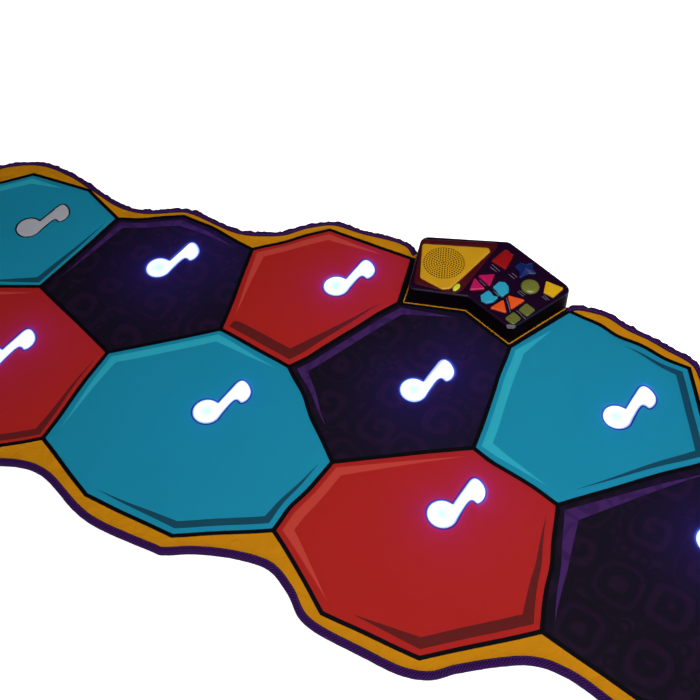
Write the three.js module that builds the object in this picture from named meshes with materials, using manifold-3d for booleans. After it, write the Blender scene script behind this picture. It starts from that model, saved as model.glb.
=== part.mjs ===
// Electronic dance mat: nine padded light-up step panels sewn into one wavy-edged mat,
// with a small hard control console clamped on its rear edge.
// Millimetres, +Z up. +X runs along the mat, +Y towards the console.
import * as THREE from 'three';
import { mergeVertices } from 'three/addons/utils/BufferGeometryUtils.js';
import Module from 'manifold-3d';

const wasm = await Module();
wasm.setup();

// Gap between pieces that touch
const GAP = 0.3;

// Heights of the mat's layers above the floor
const BACKING_TOP = 1.2;
const FOAM_BOTTOM = BACKING_TOP + GAP;
const FOAM_TOP = 3.5;
const FILM_BOTTOM = FOAM_TOP + GAP;
const FILM_TOP = 4.1;
const HARNESS_BOTTOM = FILM_TOP + GAP;
const HARNESS_TOP = 4.8;
const LED_TOP = 5.9;
const SPACER_BOTTOM = HARNESS_TOP + GAP;
const SPACER_TOP = 7.7;
const COVER_BOTTOM = SPACER_TOP + GAP;
const COVER_TOP = 9.4;
const PAD_CROWN = 10.6;

// Widths across the mat's top
const STRIP_HALF_WIDTH = 3.3;
const BINDING_WIDTH = 10;
const BINDING_THICKNESS = 1.0;
const BINDING_TOP = 10.7;
const COVER_INSET = 2;
const BACKING_INSET = 10.5;
const PAD_CORNER_RADIUS = 7;
const INNER_LAYER_INSET = 8;

// Round lamp under each note, the flat strip that feeds it and its hole in the spacer
const LED_RADIUS = 9;
const LED_HOLE_RADIUS = 12;
const HARNESS_WIDTH = 9;
const HARNESS_NOTCH_WIDTH = 11;
const HARNESS_TAB = [14, 176];

// Console, heights above the floor
const CONSOLE_TOP = 36;
const TOP_PLATE_BOTTOM = 33;
const TOP_SHELL_BOTTOM = COVER_TOP + GAP;
const BASE_FLOOR_TOP = 3.2;
const BASE_RIM_TOP = COVER_TOP;
const CONSOLE_WALL = 1.9;
const CONSOLE_EDGE_RADIUS = 2;
const CONSOLE_EDGE_STEPS = 3;
const CONSOLE_DRAFT = 0.5;
const CLAMP_WIDTH = 8;
const RIB_WIDTH = 2;
const SHELL_COLOUR = 0x1c0a23;

// The upper shell's front corner opens out into a wider curve towards its top
const FLARE_HEIGHT = 4.5;
const FLARE_FOOT_RADIUS = 6;
const FLARE_TOP_RADIUS = 16;

// Speaker, perforated grille and bezel
const SPEAKER_CENTRE = [-54, 190];
const SPEAKER_RADIUS = 31;
const SPEAKER_RIM_TOP = TOP_PLATE_BOTTOM - GAP;
const RECESS_DEPTH = 1.5;
const RECESS_FLOOR = CONSOLE_TOP - RECESS_DEPTH + GAP;
const BEZEL_PROUD = 0.4;
const GRILLE_PROUD = 1.4;
const GRILLE_RING_PITCH = 6.6;
const GRILLE_RINGS = 4;
const GRILLE_HOLE_RADIUS = 1.5;

// Half sections of the speaker's basket and cone: radius, and height from the basket's rim
const BASKET_PROFILE = [
  [0, -19.7], [13, -19.7], [13, -13.7], [16, -12.7], [28.5, -3.2], [SPEAKER_RADIUS, -3.2],
  [SPEAKER_RADIUS, 0], [28.5, 0], [28.5, -1.5], [15, -10.7], [0, -10.7], [0, -19.7],
];
const CONE_PROFILE = [
  [0, -10.4], [14.4, -10.4], [28, -1.1], [28, -0.1], [25.5, -0.1], [11, -8.2], [8, -6.1], [0, -5.1], [0, -10.4],
];

// Push buttons
const BUTTON_PROUD = 2.2;
const BUTTON_FLANGE = 0.9;
const FLANGE_TOP = TOP_PLATE_BOTTOM - GAP;
const FLANGE_BOTTOM = FLANGE_TOP - 1.5;
const KEY_MAT_BOTTOM = 27.5;
const KEY_MAT_TOP = 28.7;
const KEY_MAT_MARGIN = 0.8;
const KEY_DOME_RADIUS = 5;
const BOARD_BOTTOM = 25.6;
const BOARD_TOP = 27.2;
const BOARD_MARGIN = 1.5;
const BOARD_LEFT = -18;

// Ribbon cable from the harness's tab up to the circuit board
const RIBBON_WIDTH = 8;
const RIBBON_THICKNESS = 0.8;
const RIBBON_FOOT = 9;
const RIBBON_HEIGHT = 19.4;

// Screws that hold the two halves of the console together
const SCREW_HEAD_RADIUS = 2.9;
const SCREW_HEAD_HEIGHT = 1.7;
const SCREW_HEAD_BOTTOM = 0.4;
const SCREW_SHANK_RADIUS = 1.4;
const SCREW_TIP = 21;
const SCREW_SINK = 2.4;
const SCREW_PLACES = [[-92, 210], [-56, 142], [93, 206], [30, 266]];
const BOSS_RADIUS = 3.6;
const POST_RADIUS = 4.6;
const PILOT_DEPTH = 13;

// Three AA cells, side by side
const CELL_RADIUS = 7.1;
const CELL_LENGTH = 49.5;
const CELL_PITCH = 14.8;
const CELL_AXIS_HEIGHT = 11;
const BAY_CENTRE = [50, 212];
const BAY_WIDTH = 46;
const BAY_LENGTH = 55;
const BAY_TOP = 19.2;
const BAY_WALL = 1.5;
const DOOR_MARGIN = 4;
const DOOR_TONGUE = 12;
const DOOR_THICKNESS = 1.3;
const DOOR_SCREW_OFFSET = BAY_LENGTH / 2 + 9;
const DOOR_SCREW_BOTTOM = 0.45;
const DOOR_SCREW_HEAD = 0.5;
const DOOR_SCREW_TIP = 8;
const DOOR_SCREW_SINK = 1.0;
const DOOR_POST_RADIUS = 4;

// Half section of a cell, from its flat end to its raised one: radius, and place along its axis
const CELL_PROFILE = [
  [0, -CELL_LENGTH / 2], [6.4, -CELL_LENGTH / 2], [CELL_RADIUS, 0.8 - CELL_LENGTH / 2],
  [CELL_RADIUS, CELL_LENGTH / 2 - 2.2], [6.4, CELL_LENGTH / 2 - 1.4], [2.7, CELL_LENGTH / 2 - 1.4],
  [2.7, CELL_LENGTH / 2], [0, CELL_LENGTH / 2],
];

// Contact strips at the ends of the bay, and the bump on each for a cell
const CONTACT_THICKNESS = 0.5;
const CONTACT_HALF_HEIGHT = 5;
const BUMP_SIZE = 5;
const BUMP_DEPTH = 1.6;
const BUMP_REACH = 0.7;

// Corners where the panels' black outlines meet, measured in plan from a point near the mat's middle
const J = {
  a: [-530, 1], b: [-525, -162], c: [-359, -194], d: [-256, -73], e: [-318, 72],
  f: [-136, -68], g: [-78, 111], h: [-109, 192], i: [1, -154], j: [136, -33],
  k: [92, 133], l: [128, 236], m: [1, -274], n: [-330, -345], o: [265, -43],
  p: [329, -197], q: [393, 124], r: [-622, -229], notch: [7, 149],
};

// Each panel: its name, its corners and the middle of its note's round head
const PANELS = [
  { name: 'pad_1_teal', colour: 0x1884a0, note: [-633, -90],
    corners: [J.a, J.b, J.r, [-735, -185], [-772, -90], [-712, -2], [-611, 23]] },
  { name: 'pad_2_red', colour: 0xa51e20, note: [-486, -295],
    corners: [J.b, J.c, J.n, [-367, -384], [-455, -452], [-560, -436], [-640, -350], J.r] },
  { name: 'pad_3_purple', colour: 0x1c0e30, note: [-407, -37],
    corners: [J.a, [-449, 66], J.e, J.d, J.c, J.b] },
  { name: 'pad_4_teal', colour: 0x1884a0, note: [-180, -189],
    corners: [J.c, J.d, J.f, J.i, J.m, [-95, -351], [-223, -372], J.n] },
  { name: 'pad_5_red', colour: 0xa51e20, note: [-170, 85],
    corners: [J.e, [-246, 171], J.h, J.g, J.f, J.d] },
  { name: 'pad_6_purple', colour: 0x1c0e30, note: [26, -5],
    corners: [J.g, J.notch, J.k, J.j, J.i, J.f] },
  { name: 'pad_7_red', colour: 0xa51e20, note: [156, -137],
    corners: [J.i, J.j, J.o, J.p, [233, -302], [113, -323], J.m] },
  { name: 'pad_8_teal', colour: 0x1884a0, note: [264, 113],
    corners: [J.k, J.l, [308, 241], J.q, J.o, J.j] },
  { name: 'pad_9_purple', colour: 0x1c0e30, note: [437, 19],
    corners: [J.o, J.q, [488, 146], [580, 95], [612, -20], [560, -155], [453, -202], J.p] },
];

// Outer edge of the mat. The short stretch from [-100, 204] to [112, 236] lies inside the console.
const RIM = [
  [-597, 36], [-541, 32], [-496, 52], [-451, 83], [-390, 86], [-350, 94], [-307, 125], [-280, 164],
  [-251, 190], [-201, 200], [-147, 216], [-124, 215], [-100, 204], [112, 236], [135, 255],
  [170, 259], [224, 261], [311, 257], [342, 228], [384, 173], [428, 157], [486, 167],
  [548, 149], [602, 112], [632, 52], [635, -24], [612, -102], [583, -167], [532, -209], [460, -228],
  [375, -227], [337, -237], [280, -291], [259, -316], [232, -330],
  [189, -338], [100, -343], [59, -328], [20, -319], [-54, -356],
  [-92, -380], [-140, -388], [-205, -401], [-288, -383], [-327, -394], [-385, -434],
  [-440, -470], [-505, -476], [-573, -459], [-624, -415], [-662, -355], [-664, -290], [-690, -232],
  [-744, -205], [-785, -155], [-795, -90], [-774, -20], [-722, 26], [-660, 37],
];
const RIM_POINTS = 94;
const INNER_RIM_POINTS = 56;

// Eighth note about the middle of its round head, its flag hanging to the right of the stem
const NOTE_HEAD_RADIUS = 18.5;
const NOTE_STEM_FOOT = [17.5, 6];
const NOTE_FLAG_FOOT = [4, 18];
const NOTE_STEM_AND_FLAG = [
  NOTE_STEM_FOOT, [17.5, 36], [20, 39], [28, 37], [32, 43], [31, 53], [25.5, 61.5],
  [16, 66.5], [8, 65.5], [4.5, 61.5], NOTE_FLAG_FOOT,
];
const NOTE_HEAD_STEPS = 8;

// Runs of the lamp harness, from the console's tab to the lamp under each note
const HARNESS_RUNS = [
  [HARNESS_TAB, [-48, 112], PANELS[4].note, PANELS[2].note, PANELS[0].note],
  [HARNESS_TAB, PANELS[5].note, PANELS[3].note, PANELS[1].note],
  [PANELS[5].note, PANELS[6].note],
  [HARNESS_TAB, [112, 118], PANELS[7].note, PANELS[8].note],
];

// Console footprint, from the front left corner round to the left rear corner
const CONSOLE = [[-71, 120.5], [7, 157], [86, 141], [123.5, 251.5], [2.5, 280], [-110, 216]];
const CONSOLE_CORNER_RADII = [8, 9, 10, 16, 12, 16];
const FRONT_CORNER = 2;

const BEZEL = [[-69, 134], [-12, 150], [-5, 162], [-8, 268], [-105.3, 208.5]];
const BEZEL_CORNER_RADIUS = 7;
const GRILLE = [[-67, 147], [-29, 147], [-21, 155], [-12, 247], [-17, 252], [-101, 204.5]];
const GRILLE_CORNER_RADIUS = 4;
const LENS_CENTRE = [-15, 162];
const LENS_HALF_WIDTH = 4.4;
const LENS_HALF_LENGTH = 8.2;

// Plan outline of each push button
const BUTTONS = [
  { name: 'button_red_kite', colour: 0xa00a0f, radius: 2,
    outline: [[5.5, 263.5], [20.5, 259], [25, 229.5], [-0.5, 231.5], [2.5, 251]] },
  { name: 'button_blue_star', colour: 0x0f286e, radius: 2,
    outline: [[35.5, 252.5], [43.5, 254.5], [51, 262], [55.5, 253], [65.5, 247], [56, 240.5],
      [49.5, 225.5], [42.5, 237], [32.5, 241.5]] },
  { name: 'button_yellow_trapezoid', colour: 0xe1af14, radius: 2,
    outline: [[82.5, 243], [109.5, 245.5], [105.5, 222.5], [90, 222.5]] },
  { name: 'button_magenta_up', colour: 0xc8145a, radius: 2, outline: [[17, 213], [-2, 197], [23, 189.5]] },
  { name: 'button_magenta_down', colour: 0xc8145a, radius: 2,
    outline: [[-3.5, 191], [20.5, 181.5], [3, 167]] },
  { name: 'button_cyan_up', colour: 0x3caac8, radius: 2,
    outline: [[27, 190], [34, 188], [39, 184], [47, 183], [50, 196], [45, 204], [37, 208], [29, 204]] },
  { name: 'button_cyan_down', colour: 0x3caac8, radius: 2,
    outline: [[25, 182], [32, 180], [36, 177], [43, 180], [42, 168], [35, 160], [27, 160], [21, 167]] },
  { name: 'button_orange_up', colour: 0xeb5a1e, radius: 2,
    outline: [[51.5, 189.5], [76.5, 196], [68.5, 170]] },
  { name: 'button_orange_down', colour: 0xeb5a1e, radius: 2,
    outline: [[51, 179.5], [67, 161.5], [43, 155.5]] },
  { name: 'button_olive_up', colour: 0x73782d, radius: 3,
    outline: [[80, 192], [96.5, 188.5], [93, 172], [77, 175]] },
  { name: 'button_olive_down', colour: 0x73782d, radius: 3,
    outline: [[74, 168.5], [88.5, 164.5], [85, 148.5], [69.5, 151.5]] },
];
const ROUND_BUTTON = { name: 'button_olive_round', colour: 0x73782d, centre: [69.3, 221.6], radius: 13 };

// Outlines

function areaOf(points) {
  return THREE.ShapeUtils.area(points.map(([x, y]) => new THREE.Vector2(x, y)));
}

function anticlockwise(points) {
  return areaOf(points) < 0 ? [...points].reverse() : points;
}

// Moves every edge of an anticlockwise outline outwards by the distance; a negative one moves it in
function offset(points, distance) {
  return points.map((point, index) => {
    const before = points[(index + points.length - 1) % points.length];
    const after = points[(index + 1) % points.length];
    const inLength = Math.hypot(point[0] - before[0], point[1] - before[1]);
    const outLength = Math.hypot(after[0] - point[0], after[1] - point[1]);
    const inNormal = [(point[1] - before[1]) / inLength, (before[0] - point[0]) / inLength];
    const outNormal = [(after[1] - point[1]) / outLength, (point[0] - after[0]) / outLength];
    const reach = distance / (1 + inNormal[0] * outNormal[0] + inNormal[1] * outNormal[1]);
    return point.map((value, axis) => value + (inNormal[axis] + outNormal[axis]) * reach);
  });
}

// Replaces each corner by a short curve that starts the radius's tangent length before it.
// The radius is one number for all the corners, or a list with one for each.
function rounded(corners, radius, steps) {
  const result = [];
  corners.forEach((corner, index) => {
    const before = corners[(index + corners.length - 1) % corners.length];
    const after = corners[(index + 1) % corners.length];
    const inLength = Math.hypot(before[0] - corner[0], before[1] - corner[1]);
    const outLength = Math.hypot(after[0] - corner[0], after[1] - corner[1]);
    const turn = Math.acos(
      ((before[0] - corner[0]) * (after[0] - corner[0]) + (before[1] - corner[1]) * (after[1] - corner[1]))
      / (inLength * outLength));
    const own = Array.isArray(radius) ? radius[index] : radius;
    const cut = Math.min(own / Math.tan(turn / 2), 0.42 * inLength, 0.42 * outLength);
    const start = corner.map((value, axis) => value + (before[axis] - value) * cut / inLength);
    const end = corner.map((value, axis) => value + (after[axis] - value) * cut / outLength);
    for (let step = 0; step <= steps; step++) {
      const t = step / steps;
      result.push(corner.map((value, axis) =>
        (1 - t) * (1 - t) * start[axis] + 2 * t * (1 - t) * value + t * t * end[axis]));
    }
  });
  return result;
}

function circle(centre, radius, count) {
  return Array.from({ length: count }, (_, index) => {
    const angle = 2 * Math.PI * (index + 0.5) / count;
    return [centre[0] + radius * Math.cos(angle), centre[1] + radius * Math.sin(angle)];
  });
}

function rectangle([x, y], width, length) {
  return [[x - width / 2, y - length / 2], [x + width / 2, y - length / 2],
    [x + width / 2, y + length / 2], [x - width / 2, y + length / 2]];
}

function middleOf(points) {
  return [0, 1].map((axis) => points.reduce((sum, point) => sum + point[axis], 0) / points.length);
}

function scaledAbout(points, factor) {
  const middle = middleOf(points);
  return points.map((point) => point.map((value, axis) => middle[axis] + (value - middle[axis]) * factor));
}

// Solids

function solidOf(geometry) {
  const bare = geometry.clone();
  bare.deleteAttribute('normal');
  bare.deleteAttribute('uv');
  const merged = mergeVertices(bare, 1e-4);
  return new wasm.Manifold(new wasm.Mesh({
    numProp: 3,
    vertProperties: new Float32Array(merged.attributes.position.array),
    triVerts: new Uint32Array(merged.index.array),
  }));
}

function geometryOf(solid) {
  const mesh = solid.getMesh();
  const geometry = new THREE.BufferGeometry();
  geometry.setAttribute('position', new THREE.BufferAttribute(mesh.vertProperties, 3));
  geometry.setIndex(new THREE.BufferAttribute(mesh.triVerts, 1));
  geometry.computeVertexNormals();
  return geometry;
}

// Closed skin through rings of equal point counts, listed from the bottom up
function loft(rings) {
  const count = rings[0].points.length;
  const positions = rings.flatMap(({ points, z }) => points.flatMap(([x, y]) => [x, y, z]));
  const index = [];
  for (let ring = 0; ring + 1 < rings.length; ring++) {
    for (let here = 0; here < count; here++) {
      const next = (here + 1) % count;
      const low = ring * count;
      const high = low + count;
      index.push(low + here, low + next, high + next, low + here, high + next, high + here);
    }
  }
  const cap = (ring) => THREE.ShapeUtils.triangulateShape(
    rings[ring].points.map(([x, y]) => new THREE.Vector2(x, y)), []);
  cap(0).forEach(([a, b, c]) => index.push(c, b, a));
  const top = (rings.length - 1) * count;
  cap(rings.length - 1).forEach(([a, b, c]) => index.push(top + a, top + b, top + c));
  const geometry = new THREE.BufferGeometry();
  geometry.setAttribute('position', new THREE.Float32BufferAttribute(positions, 3));
  geometry.setIndex(index);
  return solidOf(geometry);
}

function plate(outline, bottom, top) {
  const shape = new THREE.Shape(outline.map(([x, y]) => new THREE.Vector2(x, y)));
  const geometry = new THREE.ExtrudeGeometry(shape, { depth: top - bottom, bevelEnabled: false });
  geometry.translate(0, 0, bottom);
  return solidOf(geometry);
}

function rod([x, y], radius, bottom, top, sides = 12) {
  return plate(circle([x, y], radius, sides), bottom, top);
}

function revolve([x, y], profile, segments) {
  const geometry = new THREE.LatheGeometry(profile.map(([r, z]) => new THREE.Vector2(r, z)), segments);
  geometry.rotateX(Math.PI / 2);
  geometry.translate(x, y, 0);
  return solidOf(geometry);
}

function union(solids) {
  return solids.reduce((sum, solid) => sum.add(solid));
}

function without(solid, cuts) {
  return cuts.reduce((rest, cut) => rest.subtract(cut), solid);
}

const group = new THREE.Group();

function add(name, solid, colour, roughness = 0.7, metalness = 0) {
  const material = new THREE.MeshStandardMaterial({ color: colour, roughness, metalness });
  const mesh = new THREE.Mesh(geometryOf(solid), material);
  mesh.name = name;
  group.add(mesh);
}

// Shared outlines

const rimPoints = RIM.map(([x, y]) => new THREE.Vector3(x, y, 0));
const rimCurve = new THREE.CatmullRomCurve3(rimPoints, true, 'centripetal');
const rimOutline = rimThrough(RIM_POINTS);
const innerRimOutline = rimThrough(INNER_RIM_POINTS);
const clampedEdge = consoleEdge(-CLAMP_WIDTH);

function rimThrough(count) {
  return anticlockwise(rimCurve.getSpacedPoints(count).slice(0, -1).map(({ x, y }) => [x, y]));
}

// The console's footprint, grown or shrunk by the distance, its corners rounded to suit
function consoleEdge(distance, frontRadius = CONSOLE_CORNER_RADII[FRONT_CORNER]) {
  const radii = CONSOLE_CORNER_RADII.with(FRONT_CORNER, frontRadius)
    .map((radius) => Math.max(radius + distance, 2));
  return rounded(offset(anticlockwise(CONSOLE), distance), radii, 3);
}

// One layer of the mat: an outline moved in by the inset, less the console's opening
function layer(outline, inset, bottom, top) {
  return plate(offset(outline, -inset), bottom, top).subtract(plate(clampedEdge, bottom - 1, top + 1));
}

// Outline of the note whose head is centred at the point, grown or shrunk
function noteOutline([x, y], grow) {
  const start = Math.atan2(NOTE_FLAG_FOOT[1], NOTE_FLAG_FOOT[0]);
  const end = 2 * Math.PI + Math.atan2(NOTE_STEM_FOOT[1], NOTE_STEM_FOOT[0]);
  const head = Array.from({ length: NOTE_HEAD_STEPS }, (_, index) => {
    const angle = start + (end - start) * (index + 1) / (NOTE_HEAD_STEPS + 1);
    return [NOTE_HEAD_RADIUS * Math.cos(angle), NOTE_HEAD_RADIUS * Math.sin(angle)];
  });
  return offset([...head, ...NOTE_STEM_AND_FLAG].map(([u, v]) => [x + u, y + v]), grow);
}

// Anti-slip backing: the thin rubbery sheet that lies on the floor inside the folded binding
function antiSlipBacking() {
  const sheet = plate(offset(rimOutline, -BACKING_INSET), 0, BACKING_TOP);
  return sheet.subtract(plate(consoleEdge(GAP), -1, BACKING_TOP + 1));
}

// Spacer foam: holds the panels up off the lamps, and gives when a panel is stepped on
function spacerFoam() {
  const holes = PANELS.map(({ note }) => rod(note, LED_HOLE_RADIUS, SPACER_BOTTOM - 1, SPACER_TOP + 1, 8));
  return without(layer(innerRimOutline, INNER_LAYER_INSET, SPACER_BOTTOM, SPACER_TOP), holes);
}

// Lamp harness: flat strips that run from the console to a lamp under every note's head
function strip(from, to, width, bottom, top) {
  const length = Math.hypot(to[0] - from[0], to[1] - from[1]);
  const across = [(from[1] - to[1]) / length * width / 2, (to[0] - from[0]) / length * width / 2];
  return plate([[from[0] - across[0], from[1] - across[1]], [to[0] - across[0], to[1] - across[1]],
    [to[0] + across[0], to[1] + across[1]], [from[0] + across[0], from[1] + across[1]]], bottom, top);
}

function harnessStrips(width, bottom, top) {
  return union(HARNESS_RUNS.flatMap((run) => run.slice(1).flatMap((to, index) => [
    strip(run[index], to, width, bottom, top), rod(to, width / 2, bottom, top, 6)])));
}

function lightHarness() {
  const lamps = PANELS.map(({ note }) => rod(note, LED_RADIUS, HARNESS_BOTTOM, LED_TOP, 8));
  const tab = rod(HARNESS_TAB, HARNESS_WIDTH, HARNESS_BOTTOM, HARNESS_TOP, 8);
  return union([harnessStrips(HARNESS_WIDTH, HARNESS_BOTTOM, HARNESS_TOP), tab, ...lamps]);
}

// Top cover: printed fabric border with narrow black strips between the panels
function topCover() {
  const openings = PANELS.map(({ corners }) => plate(
    rounded(offset(anticlockwise(corners), -STRIP_HALF_WIDTH), PAD_CORNER_RADIUS, 1),
    COVER_BOTTOM - 1, COVER_TOP + 1));
  return without(layer(rimOutline, COVER_INSET, COVER_BOTTOM, COVER_TOP), openings);
}

// Edge binding: woven tape folded round the edge of every layer, ended at the console's sides
function edgeBinding() {
  const wall = BINDING_THICKNESS;
  const lip = BACKING_TOP - GAP;
  const top = COVER_TOP + GAP;
  const section = [
    [BINDING_WIDTH, lip - 0.6], [0.6, lip - 0.6], [0, BINDING_TOP - 2.2],
    [1.6, BINDING_TOP - 0.5], [5, BINDING_TOP], [BINDING_WIDTH, top + 0.5],
    [BINDING_WIDTH, top], [COVER_INSET, top], [wall, top - 1], [wall, lip], [BINDING_WIDTH, lip],
  ];
  const loops = section.map(([inset, z]) => offset(rimOutline, -inset).map(([x, y]) => [x, y, z]));
  const count = rimOutline.length;
  const index = [];
  for (let along = 0; along < section.length; along++) {
    const nextAlong = (along + 1) % section.length;
    for (let here = 0; here < count; here++) {
      const next = (here + 1) % count;
      const corners = [along * count + here, along * count + next, nextAlong * count + next,
        nextAlong * count + here];
      index.push(corners[0], corners[1], corners[2], corners[0], corners[2], corners[3]);
    }
  }
  const geometry = new THREE.BufferGeometry();
  geometry.setAttribute('position', new THREE.Float32BufferAttribute(loops.flat(2), 3));
  geometry.setIndex(index);
  return solidOf(geometry).subtract(plate(consoleEdge(GAP), -1, CONSOLE_TOP));
}

// Step panel: a padded island with a soft crown and a hole in the shape of a note
function stepPanel({ corners, note }) {
  const outline = rounded(offset(anticlockwise(corners), -STRIP_HALF_WIDTH - GAP), PAD_CORNER_RADIUS, 1);
  const body = loft([
    { points: outline, z: COVER_BOTTOM },
    { points: outline, z: COVER_BOTTOM + 1.2 },
    { points: scaledAbout(outline, 0.98), z: PAD_CROWN - 0.5 },
    { points: scaledAbout(outline, 0.75), z: PAD_CROWN },
  ]);
  return body.subtract(plate(noteOutline(note, GAP), COVER_BOTTOM - 1, PAD_CROWN + 1));
}

// Note window: the translucent moulding that the lamp lights, with a slightly rounded top edge
function noteWindow({ note }) {
  return loft([
    { points: noteOutline(note, 0), z: COVER_BOTTOM + 0.6 },
    { points: noteOutline(note, 0), z: PAD_CROWN - 0.4 },
    { points: noteOutline(note, -0.8), z: PAD_CROWN + 0.1 },
  ]);
}

add('anti_slip_backing', antiSlipBacking(), 0x1a1a1c, 0.9);
add('foam_core', layer(innerRimOutline, INNER_LAYER_INSET, FOAM_BOTTOM, FOAM_TOP), 0xd8d8d0, 0.9);
add('sensor_film', layer(innerRimOutline, INNER_LAYER_INSET + 1, FILM_BOTTOM, FILM_TOP), 0xb8b8bc, 0.4);
add('light_harness', lightHarness(), 0xe6dcc0, 0.5);
add('spacer_foam', spacerFoam(), 0xe8e8e4, 0.9);
add('top_cover', topCover(), 0xbe8214, 0.7);
add('edge_binding', edgeBinding(), 0x3c195f, 0.8);
PANELS.forEach((panel, index) => {
  add(panel.name, stepPanel(panel), panel.colour, 0.65);
  add(`note_window_${index + 1}`, noteWindow(panel), 0xf4fbff, 0.3);
});

// Console

// Buttons' plan outlines with softened corners, the round one included
const buttonOutlines = [
  ...BUTTONS.map(({ name, colour, radius, outline }) =>
    ({ name, colour, dome: 0, outline: rounded(anticlockwise(outline), radius, outline.length > 5 ? 1 : 2) })),
  { name: ROUND_BUTTON.name, colour: ROUND_BUTTON.colour, dome: 2,
    outline: circle(ROUND_BUTTON.centre, ROUND_BUTTON.radius, 20) },
];

const bezelOutline = rounded(anticlockwise(BEZEL), BEZEL_CORNER_RADIUS, 2);
const grilleOutline = rounded(anticlockwise(GRILLE), GRILLE_CORNER_RADIUS, 2);
const lensOutline = circle([0, 0], 1, 12).map(([u, v]) =>
  [LENS_CENTRE[0] + u * LENS_HALF_WIDTH, LENS_CENTRE[1] + v * LENS_HALF_LENGTH]);

// Outline of the upper shell's outside at a height, its front corner opening out towards the top
function shellRing(inset, z) {
  const flare = Math.max(z - CONSOLE_TOP + FLARE_HEIGHT, 0) / FLARE_HEIGHT;
  const frontRadius = FLARE_FOOT_RADIUS + (FLARE_TOP_RADIUS - FLARE_FOOT_RADIUS) * flare;
  return { points: consoleEdge(-inset, frontRadius), z };
}

// Upper shell: drafted walls, a rounded top edge, a recess for the bezel and an opening for each button
function consoleTop() {
  const edge = Array.from({ length: CONSOLE_EDGE_STEPS + 1 }, (_, step) => {
    const angle = Math.PI / 2 * step / CONSOLE_EDGE_STEPS;
    return shellRing(CONSOLE_DRAFT + CONSOLE_EDGE_RADIUS * (1 - Math.cos(angle)),
      CONSOLE_TOP - CONSOLE_EDGE_RADIUS * (1 - Math.sin(angle)));
  });
  const outside = loft([
    shellRing(0, TOP_SHELL_BOTTOM),
    shellRing(CONSOLE_DRAFT, CONSOLE_TOP - FLARE_HEIGHT),
    ...edge,
  ]);
  const inside = plate(consoleEdge(-CONSOLE_WALL - CONSOLE_DRAFT), TOP_SHELL_BOTTOM - 1, TOP_PLATE_BOTTOM);
  const bosses = SCREW_PLACES.map((place) =>
    rod(place, BOSS_RADIUS, TOP_SHELL_BOTTOM, TOP_PLATE_BOTTOM + 1, 8));
  const pilots = SCREW_PLACES.map((place) =>
    rod(place, SCREW_SHANK_RADIUS + GAP, TOP_SHELL_BOTTOM - 1, TOP_SHELL_BOTTOM + PILOT_DEPTH, 6));
  return without(union([outside.subtract(inside), ...bosses]), [
    ...pilots,
    plate(offset(bezelOutline, GAP), CONSOLE_TOP - RECESS_DEPTH, CONSOLE_TOP + 1),
    rod(SPEAKER_CENTRE, SPEAKER_RADIUS - 1, TOP_PLATE_BOTTOM - 1, CONSOLE_TOP, 16),
    plate(offset(lensOutline, GAP), TOP_PLATE_BOTTOM - 1, CONSOLE_TOP),
    ...buttonOutlines.map(({ outline }) => plate(offset(outline, GAP), TOP_PLATE_BOTTOM - 1, CONSOLE_TOP + 1)),
  ]);
}

const doorOutline = rectangle([BAY_CENTRE[0], BAY_CENTRE[1] - DOOR_TONGUE / 2], BAY_WIDTH + 2 * DOOR_MARGIN,
  BAY_LENGTH + 2 * DOOR_MARGIN + DOOR_TONGUE);
const doorScrewPlace = [BAY_CENTRE[0], BAY_CENTRE[1] - DOOR_SCREW_OFFSET];

// Lower shell: a thin flange under the mat, a locating rib, the rear wall, screw posts and the battery bay
function consoleBase() {
  const flange = plate(consoleEdge(0), 0, BACKING_TOP);
  const floor = plate(consoleEdge(-CLAMP_WIDTH - GAP), 0, BASE_FLOOR_TOP);
  const rib = plate(consoleEdge(-CLAMP_WIDTH - GAP), 0, BASE_RIM_TOP)
    .subtract(plate(consoleEdge(-CLAMP_WIDTH - GAP - RIB_WIDTH), -1, BASE_RIM_TOP + 1));
  const mat = plate(offset(rimOutline, GAP), BACKING_TOP, BASE_RIM_TOP + 1);
  const rearWall = plate(consoleEdge(0), 0, BASE_RIM_TOP)
    .subtract(plate(consoleEdge(-CONSOLE_WALL), -1, BASE_RIM_TOP + 1)).subtract(mat);
  const posts = SCREW_PLACES.map((place) => rod(place, POST_RADIUS, 0, BASE_RIM_TOP, 8));
  const doorPost = rod(doorScrewPlace, DOOR_POST_RADIUS, 1, BASE_RIM_TOP, 8);
  const bay = plate(rectangle(BAY_CENTRE, BAY_WIDTH + 2 * BAY_WALL, BAY_LENGTH + 2 * BAY_WALL), 0,
    BAY_TOP + BAY_WALL);
  return without(union([flange, floor, rib, rearWall, ...posts, doorPost, bay]), [
    plate(rectangle(BAY_CENTRE, BAY_WIDTH, BAY_LENGTH), -1, BAY_TOP),
    plate(offset(doorOutline, GAP), -1, DOOR_THICKNESS + 2 * GAP),
    rod(doorScrewPlace, SCREW_SHANK_RADIUS + GAP, -1, BASE_RIM_TOP - 1, 6),
    ...SCREW_PLACES.map((place) => rod(place, SCREW_HEAD_RADIUS + GAP, -1, SCREW_SINK, 10)),
    ...SCREW_PLACES.map((place) => rod(place, SCREW_SHANK_RADIUS + GAP, -1, BASE_RIM_TOP + 1, 6)),
    harnessStrips(HARNESS_NOTCH_WIDTH, BASE_FLOOR_TOP, BASE_RIM_TOP + 1)
      .intersect(plate(clampedEdge, 0, BASE_RIM_TOP + 1)),
  ]);
}

// Bezel: flat frame round the grille, with the indicator's hole in its right corner
function speakerBezel() {
  const frame = plate(bezelOutline, RECESS_FLOOR, CONSOLE_TOP + BEZEL_PROUD);
  return without(frame, [plate(offset(grilleOutline, GAP), 0, CONSOLE_TOP + 5),
    plate(offset(lensOutline, GAP), 0, CONSOLE_TOP + 5)]);
}

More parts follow.
